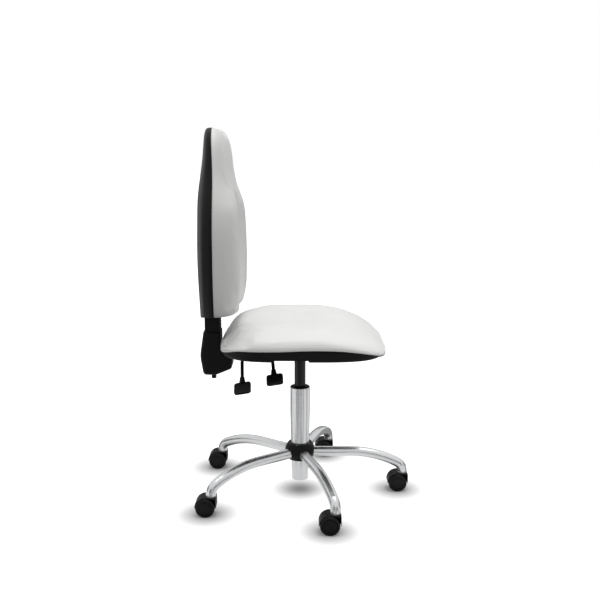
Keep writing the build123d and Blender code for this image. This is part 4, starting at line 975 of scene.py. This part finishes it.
@dataclass
class SeatCushion(Cushion):
    """Seat cushion: bolsters at both sides, a hollow between them and a front that falls away."""

    rise: float = 38.5 * MM
    nose_drop: float = 21 * MM
    nose_start: float = 40 * MM
    tail_drop: float = 12 * MM
    tail_start: float = -130 * MM
    hollow_depth: float = 22 * MM
    hollow_centre: float = -50 * MM
    hollow_half_length: float = 150 * MM
    hollow_half_width: float = 90 * MM
    # The dent at each rear corner, which slants outwards to the front and pulls the side in below it.
    tuck_depth: float = 8 * MM
    tuck_x: float = -158 * MM
    tuck_y: float = 168 * MM
    tuck_half_length: float = 58 * MM
    tuck_half_width: float = 60 * MM
    tuck_slant: float = 0.4
    tuck_pull: float = 8.0
    # The foam's soft unevenness, which changes a little from the seam to the top.
    waves_per_metre: float = 11.0
    wave_height: float = 1.8 * MM
    wave_drift: float = 0.2
    # Where the board ends under the cushion, and how square the plan is.
    board_inset: float = 27 * MM
    squareness: float = 4.0
    # Up to this height over the seam the cover stays this far outside the pan's rim.
    rim_height: float = 1 * MM
    rim_cover: float = 1.2 * MM

    # Height of the cover's lower edge over the seam in millimetres, in equal steps from the rear
    # to the front: it wraps over the pan at both ends and rides up between them.
    EDGE = (-8.0, -2.0, 0.0, 1.0, 3.0, 3.5, 3.5, 1.0, -5.0)

    # How far in from the plan's edge the held loops run, in millimetres: flat on the board, over the
    # pan's rim, and down to the cover's lower edge.
    BOARD_INSETS = (165.0, 120.0, 80.0, 50.0)
    RIM_INSETS = (14.0, 3.0, -0.6)
    EDGE_INSET = -0.9

    # Height as a share of the rise, then how far the rear, front and sides draw in, in millimetres.
    SECTION = (
        (0.00, -1.4, -1.2, -1.4),
        (0.07, -2.0, -1.4, -2.4),
        (0.24, -1.0, 4.0, -2.0),
        (0.46, 6.0, 22.0, 2.0),
        (0.70, 24.0, 54.0, 11.0),
        (0.87, 46.0, 88.0, 25.0),
        (0.97, 78.0, 126.0, 46.0),
        (1.00, 112.0, 160.0, 76.0),
    )
    LEVELS = 42
    AROUND = 240

    # Over the top, the loops draw in by even steps: the share of a step at the rear, front and sides.
    TOP_LOOPS = 9
    TOP_STEP = 13.0
    TOP_SHARES = (0.6, 0.25, 1.0)

    def __post_init__(self) -> None:
        """Takes the plan's place and size from the pan that carries the cushion."""
        low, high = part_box("seat_pan")
        _, board_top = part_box("seat_board")
        self.middle = (low.x + high.x) / 2
        self.half_length = (high.x - low.x) / 2
        self.half_width = (high.y - low.y) / 2
        self.front = high.x
        self.rear = low.x
        self.seam = board_top.z

    def drop(self, x: float) -> float:
        """How far the seam lies below its level run.

        Args:
            x: Distance along the seat.

        Returns:
            The drop.
        """
        nose = max(0.0, x - self.nose_start) / (self.front - self.nose_start)
        tail = max(0.0, self.tail_start - x) / (self.tail_start - self.rear)
        return self.nose_drop * nose**2 + self.tail_drop * tail**2

    def plan(self, rear: float, front: float, side: float) -> list[tuple[float, float]]:
        """The seat's plan outline, drawn in.

        Args:
            rear: How far it draws in at the rear.
            front: How far it draws in at the front.
            side: How far it draws in at both sides.

        Returns:
            X and Y of its points, anticlockwise.
        """
        half_length = self.half_length - (rear + front) / 2
        centre = self.middle + (rear - front) / 2
        points = []
        for step in range(self.AROUND):
            turn = 2 * math.pi * step / self.AROUND
            x, y = superellipse(half_length, self.half_width - side, self.squareness, turn)
            points.append((x + centre, y))
        return points

    def edge(self, x: float) -> float:
        """Height of the cover's lower edge over the seam at this distance along the seat."""
        return smooth_value(self.EDGE, (x - self.rear) / (self.front - self.rear)) * MM

    def held_loops(self) -> list[list[Point]]:
        """Loops under the cushion.

        Returns:
            The loops: flat on the board, out to the pan's rim and down over it.
        """
        made = []
        for inset in (*(inset * MM for inset in self.BOARD_INSETS), self.board_inset - self.clearance):
            outline = self.plan(inset, inset, inset)
            made.append([(x, y, self.seam + self.clearance) for x, y in outline])
        for inset in (self.board_inset - 2 * self.clearance, *(inset * MM for inset in self.RIM_INSETS)):
            outline = self.plan(inset, inset, inset)
            made.append([(x, y, self.level(x) + max(self.edge(x), 0.0)) for x, y in outline])
        outward = self.EDGE_INSET * MM
        outline = self.plan(outward, outward, outward)
        made.append([(x, y, self.level(x) + self.edge(x)) for x, y in outline])
        return made

    def level(self, x: float) -> float:
        """Lowest level that the cushion may have over the pan's rim."""
        return self.seam + self.clearance - self.drop(x)

    def free_loops(self) -> list[list[Point]]:
        """Loops over the cushion.

        Returns:
            The loops, from the seam up the sides and in to the middle.
        """
        made = []
        for level in range(self.LEVELS + 1):
            share, rear, front, side = smooth_rows(self.SECTION, level / self.LEVELS)
            made.append(self.crown(share, self.plan(rear * MM, front * MM, side * MM)))
        _, *last = self.SECTION[-1]
        for number in range(1, self.TOP_LOOPS + 1):
            inward = number * self.TOP_STEP
            insets = [(start + inward * share) * MM for start, share in zip(last, self.TOP_SHARES)]
            made.append(self.crown(1.0, self.plan(*insets)))
        return made

    def crown(self, share: float, outline: Sequence[tuple[float, float]]) -> list[Point]:
        """Raises one outline to its height over the seam.

        Args:
            share: Height as a share of the rise.
            outline: X and Y of the loop's points.

        Returns:
            The loop's points.
        """
        points = []
        for x, y in outline:
            hollow = self.hollow_depth * hump(
                (x - self.hollow_centre) / self.hollow_half_length, y / self.hollow_half_width
            )
            tuck = self.tuck_depth * hump(
                (x - self.tuck_x) / self.tuck_half_length,
                (abs(y) - self.tuck_y - self.tuck_slant * (x - self.tuck_x)) / self.tuck_half_width,
            )
            wave = noise.noise(Vector((x, y, share * self.wave_drift)) * self.waves_per_metre)
            uneven = wave * self.wave_height
            height = share * (self.rise - hollow - tuck + uneven) + (1 - share) * self.edge(x)
            pulled = 1 - self.tuck_pull * share**2 * (1 - share) * tuck / self.half_width
            points.append((self.middle + (x - self.middle) * pulled, y * pulled, self.level(x) + height))
        return points

    def cleared(self, spot: Vector) -> Vector:
        """Keeps a free point above the cover's lower edge, and outside the pan's rim below its top.

        Args:
            spot: Where the point lies.

        Returns:
            Where it may lie.
        """
        height = max(spot.z, self.level(spot.x) + self.edge(spot.x))
        if height > self.level(spot.x) + self.rim_height:
            return Vector((spot.x, spot.y, height))
        along = abs(spot.x - self.middle) / (self.half_length + self.rim_cover)
        across = abs(spot.y) / (self.half_width + self.rim_cover)
        outward = (along**self.squareness + across**self.squareness) ** (1 / self.squareness)
        grow = max(1.0, 1 / outward)
        return Vector((self.middle + (spot.x - self.middle) * grow, spot.y * grow, height))


@dataclass
class BackCushion(Cushion):
    """Back cushion: thick bolsters below, a slimmer neck above and a hollow between them."""

    shell: Piece | None = None
    lean: float = 8 * MM
    lean_start: float = 730 * MM
    hollow_depth: float = 17 * MM
    hollow_height: float = 600 * MM
    hollow_half_height: float = 175 * MM
    hollow_half_width: float = 112 * MM
    side_rounding: float = 42 * MM
    bottom_rounding: float = 14 * MM
    top_rounding: float = 30 * MM
    squareness: float = 2.2
    board_inset: float = 6 * MM
    board_thickness: float = 9 * MM
    rim_inset: float = 0.6 * MM
    # The last loop's share of the way to the middle, and the power that crowds loops at the rim.
    last_share: float = 0.97
    crowding: float = 1.7
    # Least part of a step towards the middle that counts as a step away from the rim.
    least_slant: float = 0.2
    # Rays look for the shell's rim from this far out, again and again because the seam leans.
    ray_start: float = 0.5
    ray_tries: int = 4
    # The foam's soft unevenness.
    waves_per_metre: float = 9.0
    wave_height: float = 1.4 * MM

    # Depth in front of the seam in millimetres, in equal steps from the bottom to the top.
    DEPTHS = (
        46.0, 48.5, 49.5, 50.5, 51.0, 51.5, 51.5, 51.0, 50.5, 50.0, 49.0,
        48.0, 45.0, 38.0, 31.0, 27.0, 25.0, 24.5, 24.0, 23.0, 21.0,
    )
    RINGS = 46
    AROUND = 264

    # Share of the way to the middle of each loop on the board's face, and how many points to either
    # side tell which way the rim runs.
    BOARD_SHARES = (0.9, 0.7, 0.5, 0.3, 0.12, 0.0)
    SPAN = 3

    def __post_init__(self) -> None:
        """Takes the cushion's place from its board and its outline from the shell's rim."""
        low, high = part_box("back_cushion")
        _, board_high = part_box("back_board")
        self.bottom = low.z
        self.top = high.z
        self.middle = (low.z + high.z) / 2
        self.seam = board_high.x - self.board_thickness
        turns = [2 * math.pi * step / self.AROUND for step in range(self.AROUND)]
        spokes = [Vector((math.cos(turn), math.sin(turn))) for turn in turns]
        corners = [spoke * self.reach(turn) for spoke, turn in zip(spokes, turns)]
        self.rim = []
        for step, (spoke, corner) in enumerate(zip(spokes, corners)):
            along = corners[(step + self.SPAN) % self.AROUND] - corners[step - self.SPAN]
            outward = Vector((along.y, -along.x)).normalized()
            self.rim.append((spoke, corner.length, outward))

    def seam_at(self, z: float) -> float:
        """X of the seam at this height."""
        share = max(0.0, z - self.lean_start) / (self.top - self.lean_start)
        return self.seam - self.lean * share**2

    def reach(self, turn: float) -> float:
        """Distance from the middle of the back to the shell's rim.

        Args:
            turn: The direction, in radians from the sitter's left.

        Returns:
            The distance.
        """
        away = Vector((0.0, math.cos(turn), math.sin(turn)))
        x = self.seam_at(self.top) - self.clearance
        for _ in range(self.ray_tries):
            start = Vector((x, 0.0, self.middle)) + away * self.ray_start
            _, place, _, _ = self.shell.ray_cast(start, -away)
            x = self.seam_at(place.z) - self.clearance
        return math.hypot(place.y, place.z - self.middle)

    def rounding(self, outward: Vector) -> float:
        """Width of the rounded edge where the rim faces this way."""
        end = self.top_rounding if outward.y > 0 else self.bottom_rounding
        return self.side_rounding + (end - self.side_rounding) * outward.y**2

    def ring(self, inset: float, pulled: float, forward: Forward) -> list[Point]:
        """The rim drawn in towards the middle.

        Args:
            inset: How far each point moves in.
            pulled: Share of the way to the middle that each point moves in after that.
            forward: Gives the distance in front of the seam, for the way the rim faces, a distance
                from the rim, a Y and a Z.

        Returns:
            The loop's points.
        """
        points = []
        for spoke, reach, outward in self.rim:
            left = (reach - inset) * (1 - pulled)
            y = left * spoke.x
            z = self.middle + left * spoke.y
            from_rim = (reach - left) * max(self.least_slant, spoke.dot(outward))
            points.append((self.seam_at(z) + forward(outward, from_rim, y, z), y, z))
        return points

    def held_loops(self) -> list[list[Point]]:
        """Loops behind the cushion.

        Returns:
            The loops: on the board's face, round its edge and out to the rim.
        """
        over_board = self.board_thickness + self.clearance
        edge = self.board_inset - self.clearance
        made = [self.ring(edge, pulled, lambda *place: over_board) for pulled in self.BOARD_SHARES]
        for inset in (edge - self.clearance, self.rim_inset):
            made.append(self.ring(inset, 0.0, lambda *place: self.clearance))
        return made

    def free_loops(self) -> list[list[Point]]:
        """Loops over the cushion's face.

        Returns:
            The loops, from the rim forward over the bolsters and in to the middle.
        """
        made = []
        for number in range(self.RINGS + 1):
            share = self.last_share * (number / self.RINGS) ** self.crowding
            made.append(self.ring(0.0, share, self.forward))
        return made

    def forward(self, outward: Vector, inset: float, y: float, z: float) -> float:
        """Distance of the cover in front of the seam.

        Args:
            outward: The way that the nearest stretch of rim faces.
            inset: Distance in from the rim.
            y: The point's Y.
            z: The point's Z.

        Returns:
            The distance.
        """
        left = 1 - min(1.0, inset / self.rounding(outward))
        round_off = (1 - left**self.squareness) ** (1 / self.squareness)
        full = smooth_value(self.DEPTHS, (z - self.bottom) / (self.top - self.bottom))
        hollow = self.hollow_depth * hump(
            y / self.hollow_half_width, (z - self.hollow_height) / self.hollow_half_height
        )
        uneven = noise.noise(Vector((0.0, y, z)) * self.waves_per_metre) * self.wave_height
        return self.clearance + round_off * (full * MM - hollow + uneven)

    def cleared(self, spot: Vector) -> Vector:
        """Keeps a free point in front of the seam."""
        return Vector((max(spot.x, self.seam_at(spot.z) + self.clearance), spot.y, spot.z))


# ---------------------------------------------------------------- rigid detail


@dataclass
class SeatPanTrim:
    """Lip and fixings of the moulded pan under the seat."""

    lip_radius: float = 2.2 * MM
    lip_drop_share: float = 0.8
    proud: float = 0.8 * MM
    screw_radius: float = 4 * MM
    steps: int = 160

    # Places of the screws, as shares of the pan's half length and half width.
    SCREW_ROWS = (-0.72, 0.0, 0.72)
    SCREW_SIDE = 0.78

    def build(self, cushion: SeatCushion) -> None:
        """Makes the lip along the seam and the screws under the pan.

        Args:
            cushion: The cushion whose seam the lip follows.
        """
        path = []
        for step in range(self.steps):
            turn = 2 * math.pi * step / self.steps
            x, y = superellipse(
                cushion.half_length + self.proud - self.lip_radius,
                cushion.half_width + self.proud - self.lip_radius,
                cushion.squareness,
                turn,
            )
            x += cushion.middle
            path.append((x, y, cushion.level(x) + cushion.edge(x) - self.lip_radius * self.lip_drop_share))
        lip = bead("seat_pan_lip", path, self.lip_radius, SHELL_PLASTIC)
        low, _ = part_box("seat_pan")
        places = []
        for row in self.SCREW_ROWS:
            for hand in Hand:
                x = cushion.middle + row * cushion.half_length
                y = hand.value * cushion.half_width * self.SCREW_SIDE
                places.append(((x, y, low.z), (0.0, 0.0, -1.0)))
        screws = screw_heads("seat_pan_screws", places, self.screw_radius, PLATED_SCREW)
        for piece, slot in ((lip, "shell_plastic"), (screws, "pin_steel")):
            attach(piece, "seat")
            LOG.info("%s rides on the seat", piece.name)


@dataclass
class CasterTrim:
    """Domed cap and ribs on the outer face of every wheel."""

    cap_radius: float = 14 * MM
    cap_rise: float = 0.9 * MM
    rib_count: int = 18
    rib_length: float = 2.6 * MM
    rib_width: float = 0.9 * MM
    rib_height: float = 0.7 * MM
    rib_sink: float = 0.15 * MM
    rim_band: float = 4 * MM
    steps: int = 40

    # The cap's section, as shares of its radius and its rise.
    CAP_SECTION = ((1.0, -0.6), (1.0, 0.35), (0.94, 0.75), (0.8, 0.92), (0.5, 1.0), (0.2, 1.0))

    def build(self, wheel: str, hand: Hand) -> None:
        """Dresses one wheel.

        Args:
            wheel: The wheel's node and body name.
            hand: Side that its outer face looks to.
        """
        low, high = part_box(wheel)
        centre = (low + high) / 2
        face = high.y if hand is Hand.LEFT else low.y
        cap = self.cap(wheel + "_cap", Vector((centre.x, face, centre.z)), hand)
        ring = ((high.z - low.z) / 2 - self.rim_band + self.cap_radius) / 2
        sizes = (ring, self.rib_length, self.rib_width, self.rib_height)
        sunk = (centre.x, face - hand.value * self.rib_sink, centre.z)
        ribs = ribs_round(wheel + "_ribs", sunk, hand, self.rib_count, sizes, WHEEL_PLASTIC)
        for piece in (cap, ribs):
            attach(piece, wheel)
            LOG.info("%s rides on its wheel", piece.name)

    def cap(self, name: str, centre: Vector, hand: Hand) -> Piece:
        """Shallow domed disc that closes the axle hole.

        Args:
            name: The piece's name.
            centre: Middle of the wheel's face.
            hand: Side that the dome rises to.

        Returns:
            The cap.
        """
        loops = []
        for share, rise in self.CAP_SECTION:
            y = centre.y + hand.value * rise * self.cap_rise
            outline = circle(share * self.cap_radius, self.steps)
            loops.append([(centre.x + x, y, centre.z + z) for x, z in outline])
        piece = new_piece(name, *bridged(loops), WHEEL_PLASTIC)
        shade_smooth(piece, CRISP_ANGLE)
        return piece


@dataclass
class BaseTrim:
    """Rolled rim of the column and the screws of the hub cover."""

    rim_radius: float = 1.1 * MM
    rim_inset_share: float = 0.7
    screw_radius: float = 1.3 * MM
    screw_ring: float = 29 * MM
    legs: int = 5
    steps: int = 72

    def build(self) -> None:
        """Makes the rim and the hub's screws."""
        _, column_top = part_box("column_tube")
        outline = circle(column_top.x - self.rim_radius * self.rim_inset_share, self.steps)
        path = [(x, y, column_top.z - self.rim_radius) for x, y in outline]
        rim = bead("column_rim", path, self.rim_radius, CHROME)
        _, hub_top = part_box("hub_cover_upper")
        places = []
        for leg in range(self.legs):
            turn = 2 * math.pi * (leg + 0.5) / self.legs
            place = (self.screw_ring * math.cos(turn), self.screw_ring * math.sin(turn), hub_top.z)
            places.append((place, (0.0, 0.0, 1.0)))
        screws = screw_heads("hub_screws", places, self.screw_radius, PLATED_SCREW)
        for piece, slot in ((rim, "column_chrome"), (screws, "pin_steel")):
            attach(piece, "base")
            LOG.info("%s rides on the base", piece.name)


# ---------------------------------------------------------------- studio


@dataclass
class Studio:
    """Plain pale floor with contact shadows painted onto it, soft overhead light and the camera."""

    camera_place: Point = (0.0, -1.997, 0.845)
    camera_pitch: float = 79.96
    lens: float = 49.42
    sensor_width: float = 36.0
    floor_half: float = 30.0
    floor_colour: str = "#BEBEBE"
    bounce_colour: str = "#7A7A7A"
    floor_glow: float = 0.95
    # Radii of the contact shadows painted onto the floor round the column and under each caster.
    column_painted_shadow: float = 100 * MM
    caster_painted_shadow: float = 114 * MM
    sky_strength: float = 0.74
    overhead_power: float = 54.0
    overhead_place: Point = (0.35, -0.1, 4.0)
    overhead_size: float = 2.6
    aim_height: float = 0.45
    flag_lift: float = 3 * MM
    flag_near: float = 0.3
    flag_far: float = 2.4
    flag_height: float = 0.8

    # Direction and width in degrees, anticlockwise from ahead of the chair, then the tones near
    # the chair and far from it.
    FLOOR_FLAGS = (
        (-4.0, 12.0, "#A0A0A0", "#606060"),
        (-50.0, 12.0, "#B8B8B8", "#707070"),
        (-78.0, 14.0, "#B0B0B0", "#646464"),
        (-102.0, 14.0, "#B4B4B4", "#686868"),
        (-124.0, 16.0, "#A0A0A0", "#585858"),
        (150.0, 26.0, "#A0A0A0", "#707070"),
        (60.0, 30.0, "#A0A0A0", "#6C6C6C"),
    )
    # Direction, width and tone.
    UPRIGHT_FLAGS = (
        (-60.0, 34.0, "#5C5C5C"),
        (-112.0, 40.0, "#545454"),
        (170.0, 40.0, "#5C5C5C"),
        (10.0, 40.0, "#5C5C5C"),
        (95.0, 50.0, "#606060"),
    )

    def camera(self) -> None:
        """Places the camera."""
        data = bpy.data.cameras.new("camera")
        data.lens = self.lens
        data.sensor_width = self.sensor_width
        eye = add_object("camera", data)
        eye.location = self.camera_place
        eye.rotation_euler = (math.radians(self.camera_pitch), 0.0, 0.0)
        bpy.context.scene.camera = eye

    def glow(self, tree: Tree, strength: float | Socket) -> Socket:
        """White that only the eye, mirrors and glass see, so it lights nothing.

        Args:
            tree: The node tree that gets it.
            strength: How much of full white it adds.

        Returns:
            The emission's output.
        """
        seen = add_node(tree, "ShaderNodeLightPath").outputs
        mirrored = calc(tree, "MAXIMUM", seen["Is Glossy Ray"], seen["Is Transmission Ray"])
        looked_at = calc(tree, "MAXIMUM", seen["Is Camera Ray"], mirrored)
        amount = calc(tree, "MULTIPLY", looked_at, strength)
        return add_node(tree, "ShaderNodeEmission", None, {"Color": WHITE, "Strength": amount}).outputs[0]

    def painted_shadow_spots(self) -> list[tuple[Point, float]]:
        """Places the painted contact shadows on the floor: one under the column and one under each
        caster's wheels.

        Returns:
            The middle of each painted shadow and its radius.
        """
        spots = [((0.0, 0.0, 0.0), self.column_painted_shadow)]
        for number in CASTERS:
            low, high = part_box(f"caster_{number}_wheel_left")
            other_low, other_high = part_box(f"caster_{number}_wheel_right")
            middle = (low + high + other_low + other_high) / 4
            spots.append(((middle.x, middle.y, 0.0), self.caster_painted_shadow))
        return spots

    def floor(self) -> None:
        """Lays a pale floor that shows white, keeps the chair's real shadows and has darker contact
        shadows painted round the column and casters.
        """
        paper = bpy.data.materials.new("matt_paper_with_painted_shadows")
        paper.use_nodes = True
        tree = paper.node_tree
        tree.nodes.remove(tree.nodes["Principled BSDF"])
        seen = add_node(tree, "ShaderNodeLightPath").outputs["Is Camera Ray"]
        tone = add_node(
            tree, "ShaderNodeMix", {"data_type": "RGBA"},
            {"Factor": seen, 6: linear(self.bounce_colour), 7: linear(self.floor_colour)},
        )
        matt = add_node(tree, "ShaderNodeBsdfDiffuse", None, {"Color": tone.outputs[2]})
        place = add_node(tree, "ShaderNodeTexCoord").outputs["Object"]
        # The white glow fades to nothing round the column and each caster, which paints darker contact
        # shadows onto the floor on top of the real ones.
        glow = self.floor_glow
        for spot, radius in self.painted_shadow_spots():
            gap = add_node(tree, "ShaderNodeVectorMath", {"operation": "DISTANCE"}, {0: place, 1: spot})
            share = add_node(
                tree, "ShaderNodeMapRange", {"interpolation_type": "SMOOTHSTEP"},
                {"Value": gap.outputs["Value"], "From Max": radius},
            )
            glow = calc(tree, "MULTIPLY", share.outputs["Result"], glow)
        both = add_node(
            tree, "ShaderNodeAddShader", None, {0: matt.outputs[0], 1: self.glow(tree, glow)}
        )
        tree.links.new(both.outputs[0], tree.nodes["Material Output"].inputs["Surface"])
        half = self.floor_half
        corners = [(-half, -half, 0.0), (half, -half, 0.0), (half, half, 0.0), (-half, half, 0.0)]
        sheet = self.sheet("floor", corners, paper)

    def sheet(self, name: str, corners: Sequence[Point], material: bpy.types.Material) -> Piece:
        """Adds a flat sheet.

        Args:
            name: The sheet's name.
            corners: Its four corners.
            material: What it wears.

        Returns:
            The sheet.
        """
        mesh = bpy.data.meshes.new(name)
        mesh.from_pydata(corners, [], [(0, 1, 2, 3)])
        mesh.materials.append(material)
        return add_object(name, mesh)

    def card(self, name: str, colours: Sequence[str], corners: Sequence[Point]) -> None:
        """Adds a grey card that only mirrors see.

        Args:
            name: The card's name.
            colours: Its tone near the chair and far from it.
            corners: Its four corners.
        """
        near, far = colours
        finish = MattCard(name + "_card", near, 0.9, far_colour=far)
        card = self.sheet(name, corners, finish.material())
        card.visible_camera = False
        card.visible_diffuse = False
        card.visible_shadow = False
        card.visible_transmission = False

    def flags(self) -> None:
        """Lays grey cards round the chair and stands some up, for the streaks in its chrome."""
        near, far, lift, top = self.flag_near, self.flag_far, self.flag_lift, self.flag_height
        for number, (turn, width, *tones) in enumerate(self.FLOOR_FLAGS):
            left, right = turn - width / 2, turn + width / 2
            corners = [(near, left, lift), (far, left, lift), (far, right, lift), (near, right, lift)]
            self.card(f"floor_flag_{number}", tones, [spot_at(*corner) for corner in corners])
        for number, (turn, width, tone) in enumerate(self.UPRIGHT_FLAGS):
            left, right = turn - width / 2, turn + width / 2
            corners = [(far, left, 0.0), (far, right, 0.0), (far, right, top), (far, left, top)]
            self.card(f"upright_flag_{number}", (tone, tone), [spot_at(*corner) for corner in corners])

    def lamp(self, name: str, place: Point, size: float, power: float) -> None:
        """Adds a square lamp that faces the seat.

        Args:
            name: The lamp's name.
            place: Where it hangs.
            size: Length of its side.
            power: Its power in watts.
        """
        data = bpy.data.lights.new(name, "AREA")
        data.shape = "SQUARE"
        data.size = size
        data.energy = power
        lamp = add_object(name, data)
        lamp.location = place
        toward = Vector((0.0, 0.0, self.aim_height)) - Vector(place)
        lamp.rotation_euler = toward.to_track_quat("-Z", "Y").to_euler()

    def light(self) -> None:
        """Sets the world and the lamp."""
        world = bpy.data.worlds.new("studio")
        bpy.context.scene.world = world
        world.use_nodes = True
        tree = world.node_tree
        sky = tree.nodes["Background"]
        sky.inputs["Color"].default_value = WHITE
        sky.inputs["Strength"].default_value = self.sky_strength
        both = add_node(
            tree, "ShaderNodeAddShader", None,
            {0: sky.outputs[0], 1: self.glow(tree, 1.0 - self.sky_strength)},
        )
        tree.links.new(both.outputs[0], tree.nodes["World Output"].inputs["Surface"])
        self.lamp("overhead", self.overhead_place, self.overhead_size, self.overhead_power)

    def build(self) -> None:
        """Sets the whole studio up."""
        self.camera()
        self.floor()
        self.flags()
        self.light()
        bpy.context.scene.view_settings.view_transform = "Standard"


def main() -> None:
    """Builds the chair's looks in order."""
    logging.basicConfig(level=logging.INFO, format="%(name)s: %(message)s")
    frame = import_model()
    Studio().build()
    dress_frame(frame)
    seat = SeatCushion("seat_cushion_cover", "seat_cushion", "seat", "seat_vinyl", SEAT_FABRIC)
    seat.build()
    back = BackCushion(
        "back_cushion_cover", "back_cushion", "back", "back_vinyl", BACK_FABRIC_PAINTED_SHADE,
        shell=frame["nodes"]["back_shell"],
    )
    back.build()
    SeatPanTrim().build(seat)
    BaseTrim().build()
    casters = CasterTrim()
    for number in CASTERS:
        casters.build(f"caster_{number}_wheel_left", Hand.LEFT)
        casters.build(f"caster_{number}_wheel_right", Hand.RIGHT)


if __name__ == "__main__":
    main()
